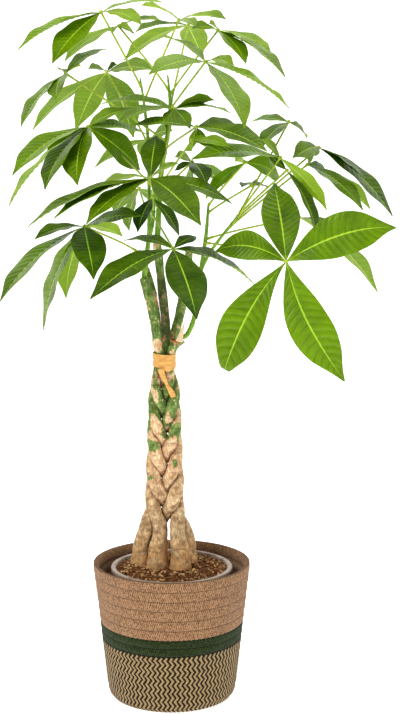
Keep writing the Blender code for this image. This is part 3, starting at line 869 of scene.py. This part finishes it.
def cutStub():
    # the torn end of the cut stem: a pale splinter and the collar that grew round it
    wood, tree, shader = startMaterial("paleWood", 0.7, 0.3)
    streak = noiseShare(tree, objectPlace(tree, (3, 3, 0.25)), 160, 3)
    colour = mixColours(tree, streak, srgb(236, 196, 160), srgb(255, 240, 218))
    tree.links.new(colour, shader.inputs["Base Color"])
    addBump(tree, shader, streak, 0.5, 0.001)
    bpy.ops.object.select_all(action="DESELECT")
    bpy.ops.mesh.primitive_cone_add(vertices=10, radius1=4.4 * mm, radius2=0.4 * mm, depth=25 * mm)
    splinter = bpy.context.object
    bpy.ops.object.mode_set(mode="EDIT")
    bpy.ops.mesh.select_all(action="SELECT")
    bpy.ops.mesh.subdivide(number_cuts=3, fractal=0.12, seed=4)
    bpy.ops.object.mode_set(mode="OBJECT")
    splinter.scale = (1.0, 0.45, 1.0)
    splinter.rotation_euler = (0.05, 0.28, 0.2)
    splinter.location = (0.0130, -0.016, 0.4440)
    settle(splinter)
    splinter.data.materials.append(wood)
    setToneAndShade(splinter.data, 1.0)
    bpy.ops.object.select_all(action="DESELECT")
    bpy.ops.mesh.primitive_torus_add(
        major_radius=7.2 * mm, minor_radius=1.4 * mm, major_segments=28, minor_segments=8)
    collar = bpy.context.object
    collar.rotation_euler = (0.1, 0.12, 0.0)
    collar.scale = (1.0, 0.75, 1.0)
    collar.location = (0.0070, -0.010, 0.4320)
    barkRing, tree, shader = startMaterial("tornBark", 0.8, 0.2)
    streak = noiseShare(tree, objectPlace(tree), 300, 3)
    colour = mixColours(tree, streak, srgb(140, 84, 44), srgb(206, 150, 100))
    tree.links.new(colour, shader.inputs["Base Color"])
    settle(collar)
    collar.data.materials.append(barkRing)
    setToneAndShade(collar.data, 1.0)
    return splinter, collar


makeTrunk()


# the raffia tie

tie = {
    "halfWidth": 13.2 * mm,
    "halfDepth": 13.6 * mm,
    "bottom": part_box("raffia_tie")[0][2],
    "top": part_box("raffia_tie")[1][2],
    "flap": 4.0 * mm,               # how far the front of the strip hangs below its edge
    "thick": 0.5 * mm,
    "tail": [                       # millimetres
        (-12.5, -16.0, 400), (-9.5, -17.0, 392), (-4.5, -17.2, 381), (0.5, -16.5, 372), (3.0, -15.5, 366)],
    "tailWidth": 6.2 * mm,
}


def makeTie():
    raffia, tree, shader = startMaterial("raffiaStrip", 0.55, 0.35)
    streak = noiseShare(tree, objectPlace(tree, (0.6, 0.6, 5.0)), 180, 4)
    patch = noiseShare(tree, objectPlace(tree), 80, 2)
    colour = mixColours(tree, softStep(tree, streak, 0.3, 0.7), srgb(226, 164, 90), srgb(250, 204, 130))
    patchShare = calc(tree, "MULTIPLY", softStep(tree, patch, 0.5, 0.8), 0.5)
    colour = mixColours(tree, patchShare, colour, srgb(222, 150, 84))
    tree.links.new(colour, shader.inputs["Base Color"])
    addBump(tree, shader, streak, 0.5, 0.0008)

    bpy.ops.object.select_all(action="DESELECT")
    bpy.ops.mesh.primitive_cylinder_add(vertices=72, radius=1, depth=1, end_fill_type="NOTHING")
    band = bpy.context.object
    bpy.ops.object.mode_set(mode="EDIT")
    bpy.ops.mesh.select_all(action="SELECT")
    bpy.ops.mesh.subdivide(number_cuts=3)
    bpy.ops.object.mode_set(mode="OBJECT")
    points = readPoints(band.data)
    angle = np.arctan2(points[:, 1], points[:, 0])
    share = points[:, 2] + 0.5
    front = np.clip(np.cos(angle + math.pi / 2 - 0.35), 0, 1) ** 6
    crease = 0.35 * mm * np.sin(share * 9 + np.sin(angle * 2)) + 0.3 * mm * np.sin(angle * 9 + share * 4)
    tilt = 1.5 * mm * np.cos(angle)
    points[:, 0] = trunk["centre"] + (tie["halfWidth"] + crease) * np.cos(angle)
    points[:, 1] = (tie["halfDepth"] + crease) * np.sin(angle)
    points[:, 2] = tie["bottom"] + share * (tie["top"] - tie["bottom"])
    points[:, 2] -= (1 - share) * front * tie["flap"] + tilt * 0.6
    writePoints(band.data, points)

    bpy.ops.object.select_all(action="DESELECT")
    bpy.ops.mesh.primitive_grid_add(x_subdivisions=28, y_subdivisions=6, size=2)
    tail = bpy.context.object
    route = smoothRoute([(*point, 1.0) for point in tie["tail"]], 29)
    points = readPoints(tail.data)
    for i, (x, y) in enumerate(points[:, :2]):
        place = (x + 1) / 2 * 28
        low = min(int(place), 27)
        start, end = Vector(route[low][:3]), Vector(route[low + 1][:3])
        along = (end - start).normalized()
        middle = start.lerp(end, place - low) * mm
        side = Vector((0, -1, 0)).cross(along).normalized()
        curl = 0.9 * mm * y * y
        width = tie["tailWidth"] * (0.42 + 0.12 * math.sin(place * 0.35))
        points[i] = middle + side * y * width + Vector((0, curl - 0.5 * mm * math.sin(place * 0.8), 0))
    points[:, 0] += trunk["centre"] + 8 * mm
    writePoints(tail.data, points)
    for strip in (band, tail):
        strip.data.materials.append(raffia)
        thick = strip.modifiers.new("thick", "SOLIDIFY")
        thick.thickness = tie["thick"]
        thick.offset = 0
        applyModifiers(strip)
    joinPieces(band, tail)
    selectOnly(band)
    bpy.ops.object.mode_set(mode="EDIT")
    bpy.ops.mesh.select_all(action="SELECT")
    bpy.ops.mesh.normals_make_consistent(inside=False)
    bpy.ops.object.mode_set(mode="OBJECT")
    shadeRound(band, 45)
    finishPiece(band, "raffiaStripTie", "raffia", "raffia_tie")
    print("tie made")


makeTie()


# shoots and leaves

# green shoots: (x, y, z, radius) from the stem's cut top to the growing tip
shoots = {
    "shoot_left": [
        (-0.031, -0.015, 0.5045, 0.0032), (-0.026, -0.015, 0.545, 0.0027),
        (-0.020, -0.016, 0.578, 0.0024), (-0.020, -0.016, 0.622, 0.0016)],
    "shoot_back": [
        (-0.030, 0.0185, 0.515, 0.0024), (-0.026, 0.018, 0.560, 0.0021),
        (-0.026, 0.014, 0.655, 0.0019), (-0.030, 0.012, 0.700, 0.0017),
        (-0.035, 0.012, 0.735, 0.0008)],
    "shoot_middle": [
        (-0.016, 0.002, 0.543, 0.0036), (-0.011, 0.001, 0.625, 0.0030),
        (-0.003, 0.000, 0.672, 0.0027), (0.000, 0.000, 0.700, 0.0023),
        (-0.003, 0.000, 0.738, 0.0008)],
    "shoot_right": [
        (0.0125, -0.010, 0.436, 0.0028), (0.020, -0.010, 0.441, 0.0028), (0.028, -0.006, 0.463, 0.0026),
        (0.036, 0.000, 0.520, 0.0024), (0.041, 0.002, 0.555, 0.0021), (0.044, 0.002, 0.592, 0.0012)],
}
sideShoot = [(0.035, 0.000, 0.514, 0.0022), (0.048, 0.000, 0.538, 0.0019), (0.080, 0.000, 0.580, 0.0012)]

up = (0, 0, 1)
toFront = (0, -0.95, 0.3)

# each leaf: the shoot's side where its stalk starts, its hub, the way its face looks, how light it is
# (partly its own paler or deeper green, partly painted light and shade: brighter on top, darker inside
# and at the back), and its leaflets as across, away and up in millimetres from hub to tip, a twist about
# the midrib in degrees, then how far the midrib bends to one side
leaves = {
    "leaf_top_left": ((-35, 12, 722), (-80, 20, 810), up, 0.75, [
        (-90, -55, -45, 0), (-50, -65, -60, -10), (45, 70, -10, -10), (70, 55, 15, 0)]),
    "leaf_top_back_left": ((-5, 0, 722), (-65, 120, 800), up, 0.6, [
        (-70, 50, -40, 0), (20, -40, -10, -50), (50, 50, 10, -10), (-5, -40, -10, 20)]),
    "leaf_far_left": ((-7, 0, 662), (-120, 0, 740), up, 0.6, [
        (45, 55, 30, 0), (-10, 35, 5, 10), (15, 35, 10, -40), (-45, -65, -60, 20), (-5, -70, -30, 30)]),
    "leaf_back_left": ((-26, 14, 655), (-80, 120, 745), up, 0.35, [
        (-95, 40, -70, 0), (-45, 65, -70, 20), (30, 70, -80, -10), (55, 70, 5, -30), (-25, 40, 5, 30),
        (10, 35, 10, -60)]),
    "leaf_front_left": ((-20, -16, 612), (-90, -70, 680), up, 0.6, [
        (-75, -85, -50, 0), (-5, -90, -60, 30), (55, 60, -50, 80), (-40, -85, -65, 20),
        (-95, 50, -90, -20), (65, 55, -10, 20), (50, 55, 20, 10), (-50, 55, -40, 0)]),
    "leaf_top_front": ((0, 0, 699), (40, -90, 750), up, 0.7, [
        (-60, -65, -15, -20), (-50, 60, 30, 10), (30, -50, -5, 20), (95, 55, -50, 20),
        (40, -85, -70, -20)]),
    "leaf_top_back": ((0, 0, 704), (20, 100, 800), up, 0.6, [
        (-65, 55, -5, 0), (-80, 40, -40, 10), (15, 85, -35, -10)]),
    "leaf_crown": ((-31, 12, 707), (10, 0, 800), up, 0.75, [
        (-45, 50, 20, 20), (55, 60, 5, -10), (20, -50, -10, 10)]),
    "leaf_top_right": ((-2, 0, 716), (55, 30, 790), up, 0.6, [
        (30, -65, -40, -10), (65, 60, -25, 0), (75, -65, -55, -10), (-30, -45, 0, -30),
        (-10, 35, 10, 50)]),
    "leaf_middle": ((-11, 1, 618), (5, -40, 700), up, 0.55, [
        (-60, -55, -15, -10), (-85, 30, 5, -10), (65, 55, -5, 10), (45, 45, 10, -40), (18, -40, -22, 20),
        (-8, -40, -22, 0)]),
    "leaf_upper_front": ((-4, 0, 655), (30, -90, 680), up, 0.5, [
        (-75, 30, 0, -20), (55, 55, -5, 30), (75, -60, -25, 20), (-5, 10, -25, 10), (10, 5, -22, 90)]),
    "leaf_young": ((-11, 1, 610), (25, -120, 665), up, 1.1, [
        (40, -45, -5, 20), (30, -35, -10, 10), (0, -35, -10, 60), (18, 12, 4, 50)]),
    "leaf_right": ((80, 0, 581), (125, -35, 645), up, 0.75, [
        (-100, -65, 0, -20), (54, 12, -60, -20), (-20, 40, 20, 70)]),
    "leaf_inner_right": ((44, 2, 590), (85, -40, 640), up, 0.9, [
        (-45, -20, -40, -20), (42, 65, -18, 70), (-10, 55, 0, 40)]),
    "leaf_right_low": ((75, 0, 576), (134, -8, 630), up, 0.3, [
        (37, 3, -78, 30), (-22, 5, 18, -60)]),
    "leaf_large_front": ((41, 1, 546), (125, -170, 540), toFront, 0.6, [
        (-10, 55, 80, 0), (115, -5, 35, 0, -9), (60, -25, -125, 0, 8), (-65, -20, -115, 0, 7),
        (-75, 50, 5, 0, 10)]),
    "leaf_back_right": ((40, 1, 552), (155, 90, 570), up, 0.3, [
        (100, 25, -95, -10), (60, 55, -30, -10), (-35, 55, -25, 10)]),
    "leaf_low_front": ((-20, -16, 578), (5, -130, 550), up, 0.4, [
        (-85, -80, -45, -10), (25, -90, -65, 0), (-55, 50, 5, -10), (25, 40, 10, 20), (90, 60, -45, 20)]),
    "leaf_low_left": ((-40, 14, 535), (-95, -70, 570), up, 0.5, [
        (-50, -55, -10, -10), (-85, -80, -75, 10), (-50, 20, -120, -40), (-25, 40, -85, -20),
        (15, -90, -50, 0), (65, -55, 15, 30), (40, 55, -15, -20)]),
    "leaf_mid_front": ((-20, -16, 605), (-20, -110, 625), up, 0.5, [
        (-130, -40, -50, 0), (-100, -55, -40, 0), (-65, -70, -45, 0), (-55, 50, -10, 10), (5, 70, 45, 0),
        (55, -85, -45, 20), (90, 35, -30, 30), (30, 30, 15, -40)]),
    "leaf_back_low": ((-26, 18, 570), (-40, 90, 605), up, 0.15, [
        (-35, 65, -35, 0), (-15, 45, -55, -40), (20, 50, -25, 0)]),
    "leaf_small_left": ((-20, -16, 583), (-20, -40, 600), up, 0.2, [
        (-15, -45, -35, 10), (30, 20, -45, 60)]),
    "leaf_inner": ((-12, 1, 600), (25, -30, 640), up, 0.3, [
        (16, -60, -23, 0), (35, 65, -30, 0), (-20, 12, -10, -60), (5, 75, -30, -80), (-20, 45, 5, 50)]),
    "leaf_back_middle": ((-26, 15, 635), (-25, 80, 665), up, 0.3, [
        (-70, 30, -35, 10), (-10, 65, -30, 0), (25, 55, 10, -60)]),
    "leaf_outer_right": ((69, 0, 568), (175, 50, 655), up, 0.45, [
        (85, -30, -80, 10), (55, -35, -40, -10), (-35, -65, -10, -40), (-15, -35, -20, 90)]),
    "leaf_upper_right": ((80, 0, 581), (140, 70, 685), up, 0.5, [
        (-45, 45, 0, -20), (-35, -55, -30, 0), (25, 45, -20, 50)]),
    "leaf_right_back": ((63, 0, 559), (161, 42, 635), up, 0.45, [
        (80, 50, -55, 0), (60, -60, -50, 0), (30, 50, -15, 50)]),
    "leaf_small_right": ((44, 2, 582), (95, 50, 610), up, 0.3, [
        (22, 40, -5, 20), (-12, -40, 0, 0), (5, 50, 0, -20)]),
}
leafShape = {
    "proportion": 0.36,            # width for length
    "arch": 0.075,
    "fold": 0.10,
    "thick": 0.45 * mm,
    "veins": 16,
    "veinLean": (0.65, 0.75),      # side veins run towards the tip, and curve more near the edge
    "puff": 0.0070,                # how far the blade swells between veins, for length
    "wave": 0.010,
    "cells": (80, 12),
    "fineCells": (150, 26),
    "largeBreadths": (1.16, 1.08, 0.90, 0.90, 1.0),
    "stalkRadius": 1.15 * mm,
    "hubRadius": 2.3 * mm,
}


def veinNumbers(tree):
    uvMap = tree.nodes.new("ShaderNodeUVMap")
    uvMap.uv_map = "bladeMap"
    along, across = splitPlace(tree, uvMap.outputs["UV"])[:2]
    side = calc(tree, "ABSOLUTE", calc(tree, "MULTIPLY_ADD", across, 2.0, -1.0))
    lean, curve = leafShape["veinLean"]
    lag = calc(tree, "ADD", calc(tree, "MULTIPLY", side, lean),
               calc(tree, "MULTIPLY", calc(tree, "MULTIPLY", side, side), curve))
    drift = calc(tree, "SUBTRACT", noiseShare(tree, objectPlace(tree), 60, 2), 0.5)
    lag = calc(tree, "ADD", lag, calc(tree, "MULTIPLY", drift, 1.1))
    phase = calc(tree, "SUBTRACT", calc(tree, "MULTIPLY", along, leafShape["veins"]), lag)
    gap = calc(tree, "MULTIPLY", calc(tree, "PINGPONG", phase, 0.5), 2.0)
    return along, side, gap


def leafMaterial(name, look):
    made, tree, shader = startMaterial(name, look["roughness"], look["specular"])
    along, side, gap = veinNumbers(tree)
    place = objectPlace(tree)
    tone = readToneAndShade(tree)
    cloud = noiseShare(tree, place, 38, 3)
    speckle = noiseShare(tree, place, 420, 3)
    # the leaf's light share sets its green: partly its own paler or deeper green, partly painted light and
    # shade
    share = calc(tree, "ADD", tone, calc(tree, "MULTIPLY", calc(tree, "SUBTRACT", cloud, 0.5), 0.7))
    share = calc(tree, "ADD", share, calc(tree, "MULTIPLY", calc(tree, "SUBTRACT", speckle, 0.5), 0.25))
    colour = mixColours(tree, softStep(tree, share, 0.0, 1.0), look["deep"], look["fresh"])
    # vein lines: on the top face a darker green, painted shade for the sunken valleys along the side veins;
    # on the underside a paler green, the veins' own colour
    vein = calc(tree, "SUBTRACT", 1.0, softStep(tree, gap, 0.02, 0.30))
    vein = calc(tree, "MULTIPLY", vein, softStep(tree, noiseShare(tree, place, 75, 2), 0.32, 0.62))
    colour = mixColours(tree, calc(tree, "MULTIPLY", vein, look["veinAndValleyShadeShare"]), colour, look["vein"])
    ribWidth = calc(tree, "MULTIPLY_ADD", along, -0.045, 0.085)
    rib = calc(tree, "SUBTRACT", 1.0, softStep(tree, side, calc(tree, "MULTIPLY", ribWidth, 0.35), ribWidth))
    colour = mixColours(tree, calc(tree, "MULTIPLY", rib, 0.9), colour, look["rib"])
    foot = calc(tree, "SUBTRACT", 1.0, softStep(tree, along, 0.0, 0.07))
    colour = mixColours(tree, calc(tree, "MULTIPLY", foot, 0.6), colour, look["rib"])
    tree.links.new(colour, shader.inputs["Base Color"])
    net = cellDistance(tree, place, 900)
    relief = calc(tree, "ADD", calc(tree, "POWER", gap, 0.6), calc(tree, "MULTIPLY", speckle, 0.6))
    relief = calc(tree, "ADD", relief, calc(tree, "MULTIPLY", net, 0.15))
    relief = calc(tree, "SUBTRACT", relief, calc(tree, "MULTIPLY", rib, look["ribDrop"]))
    addBump(tree, shader, relief, look["relief"], 0.0009)
    shader.inputs["Coat Weight"].default_value = look["gloss"]
    shader.inputs["Coat Roughness"].default_value = 0.22
    shader.inputs["Subsurface Weight"].default_value = 0.35
    shader.inputs["Subsurface Radius"].default_value = (0.45, 1.0, 0.08)
    shader.inputs["Subsurface Scale"].default_value = 0.0015
    return made


def stalkMaterial(name, light, dark):
    made, tree, shader = startMaterial(name, 0.42, 0.45)
    streak = noiseShare(tree, objectPlace(tree, (1, 1, 0.3)), 260, 3)
    colour = mixColours(tree, softStep(tree, streak, 0.3, 0.7), dark, light)
    tree.links.new(colour, shader.inputs["Base Color"])
    addBump(tree, shader, streak, 0.4, 0.0005)
    return made


def attachPoint(start, hub):
    # the nearest shoot or bare stem top carries the stalk
    best = None
    for route in [*shoots.values(), sideShoot, stems["stem_back_left"][1]]:
        for x, y, z, radius in smoothRoute(route, 40):
            distance = (Vector((x, y, z)) - start).length
            if best is None or distance < best[0]:
                best = (distance, Vector((x, y, z)), radius)
    lean = (hub - best[1]).normalized()
    return best[1] + lean * best[2] * 0.5


def outline(t, peak):
    shape = np.sin(math.pi * np.clip(t, 0, 1) ** peak) ** 0.95 * (1 - 0.35 * smoothStep(t, 0.75, 1.0))
    return 0.03 + 0.97 * np.clip(shape, 0, 1)


def startBlade(cells):
    bpy.ops.object.select_all(action="DESELECT")
    bpy.ops.mesh.primitive_grid_add(x_subdivisions=cells[0], y_subdivisions=cells[1], size=2)
    blade = bpy.context.object
    blade.data.uv_layers[0].name = "bladeMap"
    # laid out along its chord the grid turns over, so it starts face down
    bpy.ops.object.mode_set(mode="EDIT")
    bpy.ops.mesh.select_all(action="SELECT")
    bpy.ops.mesh.flip_normals()
    bpy.ops.object.mode_set(mode="OBJECT")
    return blade


def placeBlade(template, hub, chord, twist, bend, face, tone, rng, cutTip, stretch):
    # one leaflet: the flat grid drawn out to its outline, folded, arched and waved along its chord
    length = chord.length * (1.06 if cutTip else 1.0)
    width = leafShape["proportion"] * length * stretch
    along = chord.normalized()
    side = along.cross(face).normalized()
    normal = side.cross(along)
    turn = Matrix.Rotation(math.radians(twist), 3, along)
    side, normal = turn @ side, turn @ normal
    blade = template.copy()
    blade.data = template.data.copy()
    bpy.context.collection.objects.link(blade)
    points = readPoints(blade.data)
    t = (points[:, 0] + 1) / 2
    s = points[:, 1]
    form = outline(t, 1.45 if cutTip else 1.08 + rng.uniform(-0.08, 0.10))
    lean, curve = leafShape["veinLean"]
    phase = t * leafShape["veins"] - (lean * np.abs(s) + curve * s * s)
    swell = np.abs(np.sin(math.pi * phase)) ** 0.7 * (1 - np.abs(s) ** 4) * np.sin(math.pi * t) ** 0.5
    bump = 4 * t * (1 - t)
    foldUp = np.sqrt(s * s + 0.004) - 0.063
    rise = leafShape["arch"] * length * bump * rng.uniform(0.80, 1.0)
    rise += leafShape["fold"] * width * foldUp * form * rng.uniform(0.6, 1.3)
    rise += leafShape["puff"] * length * swell * (1.7 if len(points) > 3000 else 1.0)
    ripple = np.sin(t * rng.uniform(14, 20) + rng.uniform(0, 6) + s)
    rise += leafShape["wave"] * length * s ** 2 * form * ripple
    rise -= 0.35 * mm * np.exp(-(s * form / 0.05) ** 2)
    reach = 0.6 * leafShape["hubRadius"] + t * (length - 0.6 * leafShape["hubRadius"])
    if cutTip:
        fold = np.clip(reach - 0.88 * length, 0, None) / (7 * mm)
        reach = np.minimum(reach, 0.88 * length) + 7 * mm * np.sin(fold)
        rise -= 7 * mm * (1 - np.cos(fold))
    offset = s * 0.5 * width * form + bend * bump + rng.uniform(-0.012, 0.012) * length * np.sin(t * 5)
    placed = np.array(hub)[None, :] + np.outer(reach, along)
    placed = placed + np.outer(offset, side) + np.outer(rise, normal)
    writePoints(blade.data, placed)
    setToneAndShade(blade.data, tone)
    thick = blade.modifiers.new("thick", "SOLIDIFY")
    thick.thickness = leafShape["thick"]
    thick.offset = -1
    thick.material_offset = 1
    thick.material_offset_rim = 1
    applyModifiers(blade)
    return blade


def makeHub(hub, material):
    bpy.ops.object.select_all(action="DESELECT")
    bpy.ops.mesh.primitive_uv_sphere_add(
        segments=16, ring_count=8, radius=leafShape["hubRadius"], location=hub)
    ball = bpy.context.object
    settle(ball)
    ball.data.materials.append(material)
    ball.data.uv_layers[0].name = "bladeMap"
    return ball


def stalkRoute(start, hub, rng):
    reach = hub - start
    rise = Vector((0, 0, 1)) * reach.length * 0.02
    wander = Vector((rng.uniform(-1, 1), rng.uniform(-1, 1), 0)) * reach.length * 0.008
    route = []
    for i in range(25):
        t = i / 24
        point = start + reach * t + (rise + wander) * 4 * t * (1 - t) * (1 - t)
        swell = 1 + 0.7 * (1 - float(smoothStep(t, 0.0, 0.10))) + 0.45 * float(smoothStep(t, 0.94, 1.0))
        route.append((*point, leafShape["stalkRadius"] * swell))
    return route


def makeLeaves():
    # the top's vein colour is a darker green, painted shade in the valleys along the veins; the underside's
    # is the veins' own paler green
    top = leafMaterial("leafTop", {
        "roughness": 0.38, "specular": 0.15, "deep": srgb(34, 68, 0), "fresh": srgb(132, 164, 0),
        "vein": srgb(44, 84, 0), "veinAndValleyShadeShare": 0.30, "rib": srgb(196, 222, 70), "relief": 0.6, "ribDrop": 0.9,
        "gloss": 0.25})
    under = leafMaterial("leafUnderside", {
        "roughness": 0.55, "specular": 0.3, "deep": srgb(104, 134, 20), "fresh": srgb(158, 184, 44),
        "vein": srgb(176, 200, 80), "veinAndValleyShadeShare": 0.35, "rib": srgb(196, 216, 100),
        "relief": 0.4, "ribDrop": -0.5, "gloss": 0.0})
    stalk = stalkMaterial("leafStalk", srgb(190, 208, 70), srgb(148, 172, 40))
    coarse = startBlade(leafShape["cells"])
    fine = startBlade(leafShape["fineCells"])
    for blade in (coarse, fine):
        blade.data.materials.append(top)
        blade.data.materials.append(under)
    for number, (name, (start, hub, face, tone, leaflets)) in enumerate(leaves.items()):
        rng = random.Random(100 + number)
        hub = Vector(hub) * mm
        start = attachPoint(Vector(start) * mm, hub)
        isLarge = name == "leaf_large_front"
        parts = [makeHub(hub, stalk), drawTube(stalkRoute(start, hub, rng), 2, stalk)]
        for index, (across, away, height, twist, *bend) in enumerate(leaflets):
            chord = Vector((across, away, height)) * mm
            # each leaflet's light share: the leaf's value with a random change, partly its own colour and
            # partly painted light and shade
            shade = min(max(tone + rng.uniform(-0.12, 0.12), 0.0), 1.0)
            breadth = leafShape["largeBreadths"][index] if isLarge else rng.uniform(0.92, 1.04)
            parts.append(placeBlade(fine if isLarge else coarse, hub, chord, twist, sum(bend) * mm,
                                    Vector(face).normalized(), shade, rng, isLarge and index == 3, breadth))
        leaf = joinPieces(*parts)
        setMissingToneAndShade(leaf.data)
        shadeRound(leaf, 55)
        pieceName = "".join(word.capitalize() for word in name.split("_"))
        finishPiece(leaf, pieceName[0].lower() + pieceName[1:] + "Blades", "leaf_green", name)
    for blade in (coarse, fine):
        bpy.data.objects.remove(blade, do_unlink=True)
    print("leaves made:", len(leaves))


def setMissingToneAndShade(mesh):
    if mesh.attributes.get("tone") is None:
        setToneAndShade(mesh, 0.5)


def makeShoots():
    green = stalkMaterial("youngShoot", srgb(150, 186, 62), srgb(96, 140, 36))
    for name, points in shoots.items():
        route = smoothRoute(points, 90)
        route = [(x, y, z, radius * (1 + 0.22 * max(0.0, math.sin(z * 380)) ** 12))
                 for x, y, z, radius in route]
        shoot = drawTube(route, 4, green)
        if name == "shoot_right":
            joinPieces(shoot, drawTube(smoothRoute(sideShoot, 40), 4, green))
        shadeRound(shoot, 60)
        pieceName = "".join(word.capitalize() for word in name.split("_"))
        finishPiece(shoot, pieceName[0].lower() + pieceName[1:] + "Green", "shoot_green", name)
    print("shoots made")


makeShoots()
makeLeaves()
